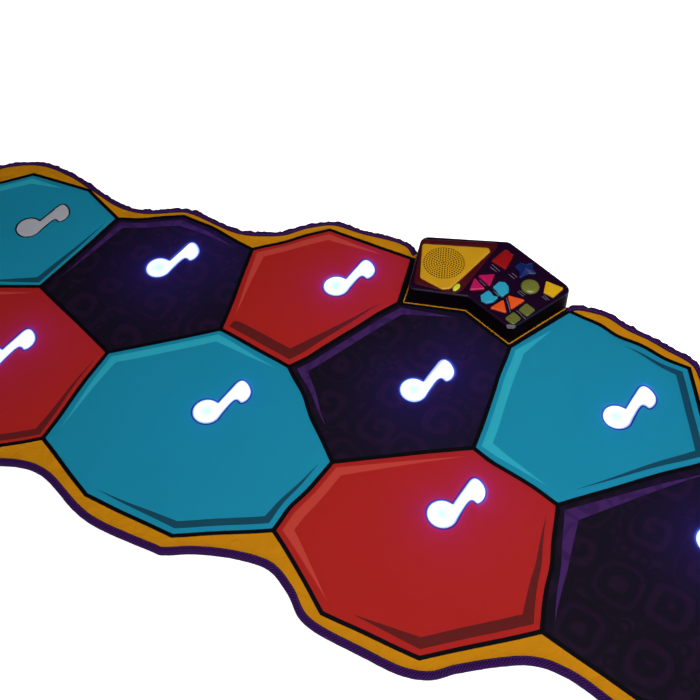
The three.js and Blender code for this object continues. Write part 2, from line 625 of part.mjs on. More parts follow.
// Grille: a cushion-edged panel with rings of sound holes in front of the speaker
function speakerGrille() {
  const top = CONSOLE_TOP + GRILLE_PROUD;
  const panel = loft([
    { points: grilleOutline, z: RECESS_FLOOR },
    { points: grilleOutline, z: top - 1.2 },
    { points: offset(grilleOutline, -0.4), z: top - 0.4 },
    { points: offset(grilleOutline, -1.4), z: top },
  ]);
  const holes = [rod(SPEAKER_CENTRE, GRILLE_HOLE_RADIUS, 0, top + 1, 5)];
  for (let ring = 1; ring <= GRILLE_RINGS; ring++) {
    for (const centre of circle(SPEAKER_CENTRE, ring * GRILLE_RING_PITCH, ring * 6)) {
      holes.push(rod(centre, GRILLE_HOLE_RADIUS, 0, top + 1, 5));
    }
  }
  return without(panel, holes);
}

// Speaker: open-topped pressed basket on a ring magnet, with the paper cone seated in it
function speakerPart(profile) {
  return revolve(SPEAKER_CENTRE, profile.map(([radius, drop]) => [radius, SPEAKER_RIM_TOP + drop]), 16);
}

// Lens over the indicator lamp, an oval rod with a domed top
function indicatorLens() {
  const top = CONSOLE_TOP + BEZEL_PROUD;
  return loft([
    { points: lensOutline, z: TOP_PLATE_BOTTOM },
    { points: lensOutline, z: top },
    { points: scaledAbout(lensOutline, 0.82), z: top + 0.8 },
    { points: scaledAbout(lensOutline, 0.4), z: top + 1.2 },
  ]);
}

// Button: a retaining flange under the top plate, then a head with a softened top edge
function pushButton({ outline, dome }) {
  const top = CONSOLE_TOP + BUTTON_PROUD;
  const crown = dome > 0
    ? [{ points: scaledAbout(outline, 0.85), z: top + dome * 0.4 },
      { points: scaledAbout(outline, 0.45), z: top + dome }]
    : [{ points: offset(outline, -0.8), z: top }];
  return loft([
    { points: offset(outline, BUTTON_FLANGE), z: FLANGE_BOTTOM },
    { points: offset(outline, BUTTON_FLANGE), z: FLANGE_TOP },
    { points: outline, z: FLANGE_TOP },
    { points: outline, z: top - 0.9 },
    ...crown,
  ]);
}

// Part of the console's inside that lies to the right of the speaker
function behindButtons(bottom, top, inset) {
  const room = plate(consoleEdge(-CONSOLE_WALL - CONSOLE_DRAFT - inset), bottom, top);
  const right = plate([[BOARD_LEFT, 130], [140, 130], [140, 300], [BOARD_LEFT, 300]], bottom, top);
  const posts = SCREW_PLACES.slice(2).map((place) => rod(place, BOSS_RADIUS + 0.5, bottom - 1, top + 1, 8));
  return without(room.intersect(right), posts);
}

// Key mat: one sheet of silicone with a soft dome under each button
function keyMat() {
  const domes = buttonOutlines.map(({ outline }) => loft([
    { points: circle(middleOf(outline), KEY_DOME_RADIUS, 6), z: KEY_MAT_TOP - 0.2 },
    { points: circle(middleOf(outline), KEY_DOME_RADIUS * 0.7, 6), z: FLANGE_BOTTOM - GAP },
  ]));
  return union([behindButtons(KEY_MAT_BOTTOM, KEY_MAT_TOP, KEY_MAT_MARGIN), ...domes]);
}

// Ribbon cable: flat lead from the lamp harness up to the circuit board
function ribbonCable() {
  const [x, y] = HARNESS_TAB;
  const side = new THREE.Shape([
    [0, 0], [RIBBON_FOOT, 0], [RIBBON_FOOT, RIBBON_THICKNESS], [RIBBON_THICKNESS, RIBBON_THICKNESS],
    [RIBBON_THICKNESS, RIBBON_HEIGHT], [0, RIBBON_HEIGHT],
  ].map(([u, v]) => new THREE.Vector2(u, v)));
  const geometry = new THREE.ExtrudeGeometry(side, { depth: RIBBON_WIDTH, bevelEnabled: false });
  geometry.rotateX(Math.PI / 2);
  geometry.translate(x - RIBBON_FOOT / 2, y + RIBBON_WIDTH / 2, HARNESS_TOP + GAP);
  return solidOf(geometry);
}

// Battery door: a plate with a tongue for its screw, which sinks into it
function batteryDoor() {
  return without(plate(doorOutline, GAP, GAP + DOOR_THICKNESS), [
    rod(doorScrewPlace, SCREW_HEAD_RADIUS + GAP, 0, DOOR_SCREW_SINK, 10),
    rod(doorScrewPlace, SCREW_SHANK_RADIUS + GAP, 0, 3, 6),
  ]);
}

// AA cell lying along Y. The middle one lies the other way round.
function batteryCell(index) {
  const geometry = new THREE.LatheGeometry(CELL_PROFILE.map(([r, y]) => new THREE.Vector2(r, y)), 10);
  if (index === 1) {
    geometry.rotateX(Math.PI);
  }
  geometry.translate(BAY_CENTRE[0] + (index - 1) * CELL_PITCH, BAY_CENTRE[1], CELL_AXIS_HEIGHT);
  return solidOf(geometry);
}

// Contact strip across one end of the bay, with a pressed bump for each cell
function contactPlate(side) {
  const outer = BAY_CENTRE[1] + side * (BAY_LENGTH / 2 - GAP);
  const inner = outer - side * CONTACT_THICKNESS;
  const sheet = plate(rectangle([BAY_CENTRE[0], (outer + inner) / 2], BAY_WIDTH - 2, CONTACT_THICKNESS),
    CELL_AXIS_HEIGHT - CONTACT_HALF_HEIGHT, CELL_AXIS_HEIGHT + CONTACT_HALF_HEIGHT);
  const bumps = [-1, 0, 1].map((cell) => plate(
    rectangle([BAY_CENTRE[0] + cell * CELL_PITCH, inner - side * BUMP_REACH], BUMP_SIZE, BUMP_DEPTH),
    CELL_AXIS_HEIGHT - BUMP_SIZE / 2, CELL_AXIS_HEIGHT + BUMP_SIZE / 2));
  return union([sheet, ...bumps]);
}

// Flat-headed screw, pointing up
function screw(place, headBottom, tip, headHeight) {
  const head = rod(place, SCREW_HEAD_RADIUS, headBottom, headBottom + headHeight, 10);
  return head.add(rod(place, SCREW_SHANK_RADIUS, headBottom, tip, 6));
}

add('console_base', consoleBase(), SHELL_COLOUR, 0.45);
add('console_top', consoleTop(), SHELL_COLOUR, 0.35);
add('speaker_bezel', speakerBezel(), 0x5a0c19, 0.4);
add('speaker_grille', speakerGrille(), 0xc39114, 0.35);
add('speaker_basket', speakerPart(BASKET_PROFILE), 0x8c8c90, 0.4, 0.8);
add('speaker_cone', speakerPart(CONE_PROFILE), 0x1c1c1e, 0.9);
add('indicator_lens', indicatorLens(), 0xc8dc3c, 0.2);
buttonOutlines.forEach((button) => add(button.name, pushButton(button), button.colour, 0.35));
add('key_mat', keyMat(), 0x9a9a96, 0.8);
add('circuit_board', behindButtons(BOARD_BOTTOM, BOARD_TOP, BOARD_MARGIN), 0x1e5a32, 0.5);
add('ribbon_cable', ribbonCable(), 0xb4b4b4, 0.6);
add('battery_door', batteryDoor(), SHELL_COLOUR, 0.45);
add('door_screw', screw(doorScrewPlace, DOOR_SCREW_BOTTOM, DOOR_SCREW_TIP, DOOR_SCREW_HEAD), 0xb4b4b8, 0.35, 1);
[0, 1, 2].forEach((index) => add(`battery_${index + 1}`, batteryCell(index), 0x2f5a8c, 0.35, 0.3));
add('contact_plate_front', contactPlate(-1), 0xc0c0c4, 0.3, 1);
add('contact_plate_back', contactPlate(1), 0xc0c0c4, 0.3, 1);
SCREW_PLACES.forEach((place, index) => add(`housing_screw_${index + 1}`,
  screw(place, SCREW_HEAD_BOTTOM, SCREW_TIP, SCREW_HEAD_HEIGHT), 0xb4b4b8, 0.35, 1));

// The origin is the middle of the whole mat, on the floor
const bounds = new THREE.Box3().setFromObject(group);
group.children.forEach((mesh) => mesh.position.set(
  -(bounds.min.x + bounds.max.x) / 2, -(bounds.min.y + bounds.max.y) / 2, -bounds.min.z));

export default group;
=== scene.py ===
import math

import bmesh
import bpy
import numpy as np
from mathutils import Matrix, Vector, noise
from mathutils.geometry import delaunay_2d_cdt


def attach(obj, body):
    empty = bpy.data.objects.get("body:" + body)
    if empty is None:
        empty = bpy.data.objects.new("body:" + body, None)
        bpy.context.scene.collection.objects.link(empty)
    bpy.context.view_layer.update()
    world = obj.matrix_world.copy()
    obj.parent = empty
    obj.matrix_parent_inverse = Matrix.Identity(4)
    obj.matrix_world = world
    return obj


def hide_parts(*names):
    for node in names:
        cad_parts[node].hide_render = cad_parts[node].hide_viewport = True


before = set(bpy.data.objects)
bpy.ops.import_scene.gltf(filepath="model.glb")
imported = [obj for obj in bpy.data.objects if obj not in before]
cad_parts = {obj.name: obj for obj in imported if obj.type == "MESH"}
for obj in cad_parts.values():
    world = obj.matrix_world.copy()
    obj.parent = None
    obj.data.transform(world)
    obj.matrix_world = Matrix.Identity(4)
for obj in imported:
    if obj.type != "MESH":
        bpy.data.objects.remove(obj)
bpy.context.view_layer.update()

# Camera: it stands off the mat's right front edge at chest height and looks down across the panels.
# Its place, tilt and lens come from the perspective of the photograph.
CAMERA_PLACE = Vector((0.5076, -0.5562, 1.1094))
CAMERA_HEADING = math.radians(38)
CAMERA_PITCH = math.atan(1.319)
CAMERA_ROLL = math.radians(2.4)
CAMERA_LENS = 51.43
CAMERA_SENSOR = 36

level = Vector((math.cos(CAMERA_HEADING), math.sin(CAMERA_HEADING), 0))
ahead = Vector((-math.sin(CAMERA_HEADING), math.cos(CAMERA_HEADING), 0))
sky = Vector((0, 0, 1))
forward = ahead * math.cos(CAMERA_PITCH) - sky * math.sin(CAMERA_PITCH)
upward = ahead * math.sin(CAMERA_PITCH) + sky * math.cos(CAMERA_PITCH)
camera_right = level * math.cos(CAMERA_ROLL) - upward * math.sin(CAMERA_ROLL)
camera_up = upward * math.cos(CAMERA_ROLL) + level * math.sin(CAMERA_ROLL)
lens = bpy.data.cameras.new("camera")
lens.lens = CAMERA_LENS
lens.sensor_width = CAMERA_SENSOR
camera = bpy.data.objects.new("camera", lens)
camera.matrix_world = (
    Matrix.Translation(CAMERA_PLACE)
    @ Matrix((camera_right, camera_up, -forward)).transposed().to_4x4()
)
bpy.context.scene.collection.objects.link(camera)
bpy.context.scene.camera = camera

# Floor and light: a white studio floor, a wide soft lamp over the mat's right half, and a small low one
# off its right front edge, so that the far left end lies dimmer. The sky is pale in front of the mat and
# dark behind it.
FLOOR_SIZE = 40
FLOOR_DROP = 0.0006
FLOOR_WHITE = (0.9, 0.9, 0.9, 1)
FLOOR_LIFT = 0.85
SKY_FRONT = (0.616, -0.788, 0.0)
SKY_TURN = (-0.6, 0.8)
SKY_STRENGTH = (0.03, 0.34)
SOFT_LAMPS = [
    {"name": "near_lamp", "place": (0.4, 0.0, 1.25), "size": 1.0, "power": 14.5},
    {"name": "low_lamp", "place": (1.484, -1.675, 0.625), "size": 0.45, "power": 13},
]


def feed(tree, node, inputs):
    """Gives inputs of a node their values. A value may be another node's output."""
    for name, value in inputs.items():
        if isinstance(value, bpy.types.NodeSocket):
            tree.links.new(value, node.inputs[name])
        else:
            node.inputs[name].default_value = value


def placed(tree, kind, settings=None, inputs=None):
    """One shader node with its settings and inputs."""
    made = tree.nodes.new(kind)
    for name, value in (settings or {}).items():
        setattr(made, name, value)
    feed(tree, made, inputs or {})
    return made


def maths(tree, operation, *values, clamp=False):
    """The result of one sum of a shader."""
    return placed(tree, "ShaderNodeMath", {"operation": operation, "use_clamp": clamp},
                  dict(enumerate(values))).outputs[0]


def ranged(tree, value, source, target=(0, 1)):
    """A value carried from one range to another."""
    return placed(tree, "ShaderNodeMapRange", inputs={
        "Value": value, "From Min": source[0], "From Max": source[1],
        "To Min": target[0], "To Max": target[1]}).outputs[0]


def finish_named(name):
    """An empty material: its node tree and its Principled shader."""
    material = bpy.data.materials.new(name)
    material.use_nodes = True
    return material, material.node_tree, material.node_tree.nodes["Principled BSDF"]


floor_material, tree, shader = finish_named("studio_floor")
rays = placed(tree, "ShaderNodeLightPath").outputs
seen = maths(tree, "MAXIMUM", rays["Is Camera Ray"], rays["Is Glossy Ray"])
seen = maths(tree, "MAXIMUM", seen, rays["Is Transmission Ray"])
feed(tree, shader, {"Base Color": FLOOR_WHITE, "Roughness": 1, "Specular IOR Level": 0,
                    "Emission Color": (1, 1, 1, 1),
                    "Emission Strength": maths(tree, "MULTIPLY", seen, FLOOR_LIFT)})

bpy.ops.mesh.primitive_plane_add(size=FLOOR_SIZE, location=(0, 0, -FLOOR_DROP))
floor = bpy.context.object
floor.name = "studio_floor"
floor.data.materials.append(floor_material)

world = bpy.data.worlds.new("studio_sky")
bpy.context.scene.world = world
world.use_nodes = True
tree = world.node_tree
direction = placed(tree, "ShaderNodeTexCoord").outputs["Generated"]
towards_front = placed(tree, "ShaderNodeVectorMath", {"operation": "DOT_PRODUCT"},
                       {0: direction, 1: SKY_FRONT}).outputs["Value"]
feed(tree, tree.nodes["Background"], {
    "Color": (1, 1, 1, 1), "Strength": ranged(tree, towards_front, SKY_TURN, SKY_STRENGTH)})

for lamp in SOFT_LAMPS:
    glow = bpy.data.lights.new(lamp["name"], "AREA")
    glow.size = lamp["size"]
    glow.energy = lamp["power"]
    stand = bpy.data.objects.new(lamp["name"], glow)
    stand.location = lamp["place"]
    stand.rotation_euler = (-Vector(lamp["place"])).to_track_quat("-Z", "Y").to_euler()
    bpy.context.scene.collection.objects.link(stand)

bpy.context.scene.view_settings.view_transform = "Standard"

# Step panels: nine padded islands of foam under coated polyester, sewn down along the black lines.
# Each has a pale band printed on its left, a black line round its note and, unless it is purple, a
# dark band on its right. All plan measures are millimetres from one point near the mat's middle.
MM = 0.001
PLAN_SHIFT = np.array([79.2936, 98.6341])
SEAM_HALF_WIDTH = 2.9
PANEL_CORNER_RADIUS = 2.5
PANEL_CORNER_STEPS = 3
PANEL_BOTTOM = 8.0
PANEL_EDGE = 9.15
PANEL_RISE = 1.35
PANEL_RISE_REACH = 11
EDGE_STEPS = [0.5, 1.4, 3.0, 6.0]
CLOTH_SPACING = 7
FINE_SPACING = 3
LOOP_CLEARANCE = 3
CLOTH_CREASE = 50
WINDOW_GAP = 0.3
NOTE_LINE_WIDTH = 2.2
NOTE_LOOPS = [1.2, 4]
NOTE_CLEARANCE = 1.5
NOTE_REACH = 16
UNLIT_PANEL = 1
# A band's gap from its seam and its width, and how far in its tips lie as a share of that width
BANDS = {"light": (9, 12), "dark": (10, 10)}
BAND_TIP = 0.25
# The corners where seams meet, and the notch of the black cloth at the console's foot
SEAMS = {
    "a": (-530, 1), "b": (-525, -162), "c": (-359, -194), "d": (-256, -73), "e": (-318, 72),
    "f": (-136, -68), "g": (-78, 111), "h": (-109, 192), "i": (1, -154), "j": (136, -33),
    "k": (92, 133), "l": (128, 236), "m": (1, -274), "n": (-330, -345), "o": (265, -43),
    "p": (329, -197), "q": (393, 124), "r": (-622, -229), "notch": (7, 149),
}
# A band runs from a share of the way along one edge to a share of the way along another
PANELS = [
    {"colour": "teal", "note": (-629, -91), "light": ((3, 0.2), (5, 0.6)), "dark": ((0, 0.05), (1, 0.9)),
     "dark_gap": 7,
     "corners": ["a", "b", "r", (-735, -185), (-772, -90), (-712, -2), (-611, 23)]},
    {"colour": "red", "note": (-486, -295), "light": ((6, 0.1), (7, 0.97)), "dark": ((1, 0.05), (3, 0.8)),
     "dark_gap": 7,
     "corners": ["b", "c", "n", (-367, -384), (-455, -452), (-560, -436), (-640, -350), "r"]},
    {"colour": "purple", "note": (-407, -37), "light": ((5, 0.1), (1, 0.88)), "dark": None,
     "corners": ["a", (-449, 66), "e", "d", "c", "b"]},
    {"colour": "teal", "note": (-180, -189), "light": ((7, 0.1), (1, 0.93)), "dark": ((3, 0.03), (5, 0.98)),
     "corners": ["c", "d", "f", "i", "m", (-95, -351), (-223, -372), "n"]},
    {"colour": "red", "note": (-170, 85), "light": ((5, 0.13), (1, 0.75)), "dark": ((3, 0.07), (5, 0.06)),
     "dark_width": 15,
     "corners": ["e", (-246, 171), "h", "g", "f", "d"]},
    {"colour": "purple", "note": (24.5, -3), "light": ((4, 0.3), (0, 0.95)), "dark": None,
     "corners": ["g", "notch", "k", "j", "i", "f"]},
    {"colour": "red", "note": (156, -137), "light": ((5, 0.05), (0, 0.97)), "dark": ((2, 0.04), (4, 0.76)),
     "dark_width": 13.5,
     "corners": ["i", "j", "o", "p", (233, -302), (113, -323), "m"]},
    {"colour": "teal", "note": (264, 113), "light": ((4, 0.15), (0, 0.65)), "dark": ((1, 0.5), (3, 0.9)),
     "corners": ["k", "l", (308, 241), "q", "o", "j"]},
    {"colour": "purple", "note": (437, 19), "light": ((7, 0.04), (0, 0.95)), "dark": None,
     "light_width": 18,
     "corners": ["o", "q", (488, 146), (580, 95), (612, -20), (560, -155), (453, -202), "p"]},
]
# Where the sewing has drawn a seam off its straight line, and by how much
SEAM_TUGS = [
    ((1, -238), (-4, 0)), ((-290, 115), (2.5, -1.8)), ((297, -120), (3, 1)), ((-95, -94), (1.5, 2.6)),
    ((-55, -112), (-1, -1.5)), ((165, -36), (0, -3)), ((228, -40), (0.5, 2)), ((-87, 84), (-2.5, 1)),
    ((-127, -41), (2.6, -1)), ((170, 246), (0, 3.5)), ((205, 240), (-1, -4.5)), ((275, 240), (0, -3.5)),
    ((-505, 27), (2, -2.4)), ((-395, 70), (0, 2)), ((105, 92), (-2.5, 0)),
]
TUG_REACH = 24
# The cloth drifts in slow waves, but not beside the console. The seed makes them the same each time.
DRIFT = 2.4
DRIFT_LENGTH = 80
DRIFT_PHASE = 3.7
DRIFT_SEED = 7
DRIFT_START = 8
DRIFT_RAMP = 60
# The padding swells in waves of a length, a phase, a height and what the far left end adds to it
SWELLS = [(85, 9.1, 0.42, 0.7), (28, 5.3, 0.16, 0.1)]
SWELL_RAMP = 14
FAR_LEFT = -330
FAR_LEFT_RAMP = 200
CONSOLE = np.array([(-71, 120.5), (7, 157), (86, 141), (122.7, 252.5), (0.8, 281.2), (-111, 217.3)])
NOTE_HEAD_RADIUS = 18.5
NOTE_HEAD_ENDS = [(4, 19.5), (17.9, 6)]
NOTE_HEAD_STEPS = 27
NOTE_STEM_AND_FLAG = [
    (17.9, 6), (17.2, 17), (17.2, 31), (19, 36.8), (23.5, 38), (28, 37), (31, 42), (31.2, 50),
    (28, 57.5), (21.5, 63.2), (13, 66.6), (7, 66), (4.2, 61.5), (3.8, 45), (3.9, 22.5), (4, 19),
]
NOTE_STEPS = 110
CLOTH_COLOURS = {
    "teal": (24, 131, 162), "teal_light": (44, 164, 185), "teal_dark": (20, 68, 87),
    "red": (164, 33, 29), "red_light": (185, 62, 52), "red_dark": (92, 28, 26),
    "purple": (19, 14, 27), "purple_light": (62, 33, 88), "black": (8, 7, 12),
}
MOTIF_COLOURS = {"purple": (29, 16, 36), "purple_light": (50, 27, 76)}
# Motifs of the tone-on-tone print, and the small rings between them: their size and wobble in
# metres, then their form, with its lengths as shares of that size
MOTIF_SIZE = 0.074
MOTIF_WOBBLE = (0.012, 0.012, 0)
MOTIF_SCATTER = 0.45
MOTIF_RADIUS = 0.4
MOTIF_SQUARENESS = 3.0
MOTIF_TURNS = 3.4
MOTIF_LINE = 0.27
RING_ROOM = 0.47
RING_SCALE = 3.4
RING_SCATTER = 0.7
RING_RADIUS = 0.3
RING_LINE = 0.07
# How fast a printed line and the edge of a motif turn from none to full colour
LINE_SHARPNESS = 12
EDGE_SHARPNESS = 16
# Coated cloth is nearly matt
CLOTH_ROUGHNESS = 0.6
CLOTH_SHINE = 0.03
# Light in the cloth round a lit note: how far it reaches and its colour, by dye where that matters
GLOW_EDGE = [(0.6, (0.05, 0.15, 0.85)), (3.0, (0.01, 0.015, 0.15))]
HALO_REACH = 13
HALO = {"teal": (0.0, 0.0, 0.05), "red": (0.03, 0.0, 0.07), "purple": (0.002, 0.0, 0.03)}
HAZE_REACH = 70
HAZE = {"teal": (0.0, 0.0, 0.01), "red": (0.006, 0.0, 0.01), "purple": (0.0045, 0.002, 0.03)}
HAZE_DRIFT = np.array([16, 8])
# Limits of the drawing: the share of an edge that a rounding may take up, the samples between two
# points of a curve, the length that counts as none, and the distance at which corners are one
CORNER_SHARE = 0.42
CURVE_SAMPLES = 24
NO_LENGTH = 1e-12
ONE_CORNER = 1e-5


def linear(colour):
    """A screen colour from 0 to 255 as the linear colour that a shader takes."""
    shares = np.array(colour) / 255
    straight = np.where(shares <= 0.04045, shares / 12.92, ((shares + 0.055) / 1.055) ** 2.4)
    return (*straight, 1)


def facing(points):
    """1 where a closed outline runs anticlockwise, or -1."""
    after = np.roll(points, -1, 0)
    return math.copysign(1, (points[:, 0] * after[:, 1] - after[:, 0] * points[:, 1]).sum())


def grown(points, distance):
    """Every edge of a closed outline moved outwards by the distance. A negative one moves it in."""
    points = np.asarray(points, float)
    before = points - np.roll(points, 1, 0)
    after = np.roll(points, -1, 0) - points
    before /= np.linalg.norm(before, axis=1)[:, None]
    after /= np.linalg.norm(after, axis=1)[:, None]
    normal_before = facing(points) * np.stack([before[:, 1], -before[:, 0]], 1)
    normal_after = facing(points) * np.stack([after[:, 1], -after[:, 0]], 1)
    reach = distance / (1 + (normal_before * normal_after).sum(1))
    return points + (normal_before + normal_after) * reach[:, None]


def rounded(corners, radius, steps):
    """A closed outline with each corner replaced by a short curve, of one radius or each its own."""
    result = []
    radii = np.broadcast_to(radius, len(corners))
    for here, before, after, own in zip(corners, np.roll(corners, 1, 0), np.roll(corners, -1, 0), radii):
        into, out = before - here, after - here
        length_in, length_out = np.linalg.norm(into), np.linalg.norm(out)
        turn = math.acos(np.clip(into @ out / (length_in * length_out), -1, 1))
        cut = min(own / math.tan(turn / 2), CORNER_SHARE * length_in, CORNER_SHARE * length_out)
        start, end = here + into * cut / length_in, here + out * cut / length_out
        for t in np.linspace(0, 1, steps + 1):
            result.append((1 - t) ** 2 * start + 2 * t * (1 - t) * here + t * t * end)
    return np.array(result)


def spaced(points, spacing):
    """A closed outline with points added, so that no step is longer than the spacing."""
    result = []
    for here, after in zip(points, np.roll(points, -1, 0)):
        count = max(1, math.ceil(np.linalg.norm(after - here) / spacing))
        result += [here + (after - here) * step / count for step in range(count)]
    return np.array(result)


def smooth_loop(points, count):
    """A closed curve through the points that turns evenly, cut into equal steps."""
    points = np.asarray(points, float)
    samples = []
    for index in range(len(points)):
        p0, p1, p2, p3 = (points[(index + k) % len(points)] for k in (-1, 0, 1, 2))
        t1 = np.linalg.norm(p1 - p0) ** 0.5
        t2 = t1 + np.linalg.norm(p2 - p1) ** 0.5
        t3 = t2 + np.linalg.norm(p3 - p2) ** 0.5
        for t in np.linspace(t1, t2, CURVE_SAMPLES, endpoint=False):
            a1 = p0 + (p1 - p0) * t / t1
            a2 = p1 + (p2 - p1) * (t - t1) / (t2 - t1)
            a3 = p2 + (p3 - p2) * (t - t2) / (t3 - t2)
            b1 = a1 + (a2 - a1) * t / t2
            b2 = a2 + (a3 - a2) * (t - t1) / (t3 - t1)
            samples.append(b1 + (b2 - b1) * (t - t1) / (t2 - t1))
    closed = np.array([*samples, samples[0]])
    travelled = np.concatenate([[0], np.cumsum(np.linalg.norm(np.diff(closed, axis=0), axis=1))])
    stops = np.linspace(0, travelled[-1], count, endpoint=False)
    return np.stack([np.interp(stops, travelled, closed[:, axis]) for axis in (0, 1)], 1)


def inside(points, outline):
    """Which of the points lie inside a closed outline."""
    x, y = points[:, :1], points[:, 1:2]
    start, end = outline, np.roll(outline, -1, 0)
    crosses = (start[:, 1] > y) != (end[:, 1] > y)
    rise = np.where(end[:, 1] == start[:, 1], NO_LENGTH, end[:, 1] - start[:, 1])
    meets = start[:, 0] + (y - start[:, 1]) * (end[:, 0] - start[:, 0]) / rise
    return (crosses & (x < meets)).sum(1) % 2 == 1


def distance_to(points, outline):
    """How far each point is from a closed outline."""
    nearest = np.full(len(points), np.inf)
    for start, end in zip(outline, np.roll(outline, -1, 0)):
        along = end - start
        share = np.clip((points - start) @ along / max(along @ along, NO_LENGTH), 0, 1)
        nearest = np.minimum(nearest, np.linalg.norm(points - start - share[:, None] * along, axis=1))
    return nearest


def scattered(outline, spacing):
    """Points of an even triangular pattern that covers an outline's box."""
    low, high = outline.min(0), outline.max(0)
    rows = np.arange(low[1], high[1], spacing * math.sqrt(3) / 2)
    return np.array([
        (x + spacing / 2 * (row % 2), y)
        for row, y in enumerate(rows) for x in np.arange(low[0], high[0], spacing)
    ])


def filled(outline, holes=(), creases=(), spots=()):
    """Flat triangles inside an outline and outside its holes, with every crease as a line of edges."""
    loops = [outline, *holes, *creases]
    points = np.vstack([*loops, *spots])
    edges, first = [], 0
    for loop in loops:
        edges += [(first + k, first + (k + 1) % len(loop)) for k in range(len(loop))]
        first += len(loop)
    cut = delaunay_2d_cdt([Vector(point) for point in points], edges, [], 0, ONE_CORNER, False)
    corners, faces = cut[0], cut[2]
    corners = np.array([tuple(corner) for corner in corners])
    faces = np.array(faces)
    middles = corners[faces].mean(1)
    kept = inside(middles, outline)
    for hole in holes:
        kept &= ~inside(middles, hole)
    return corners, faces[kept]


def clear_of(points, loops, distance):
    """The points that lie further than a distance from every loop."""
    for loop in loops:
        points = points[distance_to(points, loop) > distance]
    return points


def waves(points, length, phase):
    """Random waves of one length over the plan, mostly between -0.5 and 0.5."""
    return np.array([noise.noise(Vector((x / length, y / length, phase))) for x, y in points])


def settled(points):
    """The drawn points as cloth lies: moved by a few millimetres, and not at all by the console."""
    loose = np.clip((distance_to(points, CONSOLE) - DRIFT_START) / DRIFT_RAMP, 0, 1)
    drift = DRIFT * np.array([
        noise.noise_vector(Vector((x / DRIFT_LENGTH, y / DRIFT_LENGTH, DRIFT_PHASE)))[:2]
        for x, y in points
    ])
    for place, pull in SEAM_TUGS:
        near = np.exp(-((points - np.array(place)) ** 2).sum(1) / TUG_REACH ** 2)
        drift += near[:, None] * np.array(pull)
    return points + drift * loose[:, None]


def swell(points):
    """How much the padding under the cloth lifts or sinks at each point, in millimetres."""
    far = np.clip((FAR_LEFT - points[:, 0]) / FAR_LEFT_RAMP, 0, 1)
    return sum((height + more * far) * waves(points, length, phase)
               for length, phase, height, more in SWELLS)


def cloth_mesh(name, points, faces, heights, finish_of_face, bottom, finishes):
    """A closed sheet: the top at the given heights, upright sides and a flat underside."""
    shape = bmesh.new()
    place = (settled(points) + PLAN_SHIFT) * MM
    corners = {k: shape.verts.new((*place[k], heights[k] * MM)) for k in np.unique(faces)}
    for face, finish in zip(faces, finish_of_face):
        shape.faces.new([corners[k] for k in face]).material_index = int(finish)
    border = [edge for edge in shape.edges if edge.is_boundary]
    sides = bmesh.ops.extrude_edge_only(shape, edges=border)["geom"]
    for part in sides:
        if isinstance(part, bmesh.types.BMVert):
            part.co.z = bottom * MM
    low = [part for part in sides if isinstance(part, bmesh.types.BMEdge) and part.is_boundary]
    under = bmesh.ops.triangle_fill(shape, edges=low, use_beauty=True, use_dissolve=False)["geom"]
    for part in (*sides, *under):
        if isinstance(part, bmesh.types.BMFace):
            part.material_index = len(finishes) - 1
    bmesh.ops.recalc_face_normals(shape, faces=shape.faces)
    return mesh_piece(name, shape, finishes, CLOTH_CREASE)


def mesh_piece(name, shape, finishes, crease_angle):
    """The finished object of a bmesh, smooth but for edges sharper than the angle."""
    mesh = bpy.data.meshes.new(name)
    shape.to_mesh(mesh)
    shape.free()
    for finish in finishes:
        mesh.materials.append(finish)
    mesh.shade_smooth()
    mesh.set_sharp_from_angle(angle=math.radians(crease_angle))
    piece = bpy.data.objects.new(name, mesh)
    bpy.context.scene.collection.objects.link(piece)
    return piece


def painted_points(piece, label, colours):
    """Keeps one colour for each point of a piece, for its material to read."""
    layer = piece.data.attributes.new(label, "FLOAT_COLOR", "POINT")
    colours = np.hstack([colours, np.ones((len(colours), 1))])
    layer.data.foreach_set("color", colours.astype(np.float32).ravel())


def plan_of(piece):
    """The drawn plan point of each of a piece's points, in millimetres."""
    points = np.zeros(len(piece.data.vertices) * 3, np.float32)
    piece.data.vertices.foreach_get("co", points)
    return points.reshape(-1, 3)[:, :2] / MM - PLAN_SHIFT


def effect(name, inputs, outputs):
    """An empty shader group with named inputs and outputs."""
    group = bpy.data.node_groups.new(name, "ShaderNodeTree")
    for label, kind, value in inputs:
        socket = group.interface.new_socket(label, in_out="INPUT", socket_type=kind)
        socket.default_value = value
    for label, kind in outputs:
        group.interface.new_socket(label, in_out="OUTPUT", socket_type=kind)
    return group, group.nodes.new("NodeGroupInput"), group.nodes.new("NodeGroupOutput")


def blended(tree, share, first, second, blend="MIX"):
    """Two colours mixed by a share, or the second laid on the first in another way."""
    return placed(tree, "ShaderNodeMix", {"data_type": "RGBA", "blend_type": blend},
                  {"Factor": share, 6: first, 7: second}).outputs[2]


def clouds(tree, place, scale, detail, distortion=0):
    """Soft noise from 0 to 1, with so many clouds to a metre."""
    return placed(tree, "ShaderNodeTexNoise", inputs={
        "Vector": place, "Scale": scale, "Detail": detail, "Distortion": distortion}).outputs["Fac"]


def bumped(tree, height, strength, depth, under=None):
    """The surface normal under a height map, laid over another bump where there is one."""
    inputs = {"Strength": strength, "Distance": depth, "Height": height}
    if under:
        inputs["Normal"] = under
    return placed(tree, "ShaderNodeBump", inputs=inputs).outputs["Normal"]


def place_on(tree):
    """The point of the object that is shaded, in metres."""
    return placed(tree, "ShaderNodeTexCoord").outputs["Object"]


def parts_of(tree, vector):
    """The three numbers of a vector, by name."""
    return placed(tree, "ShaderNodeSeparateXYZ", inputs={0: vector}).outputs


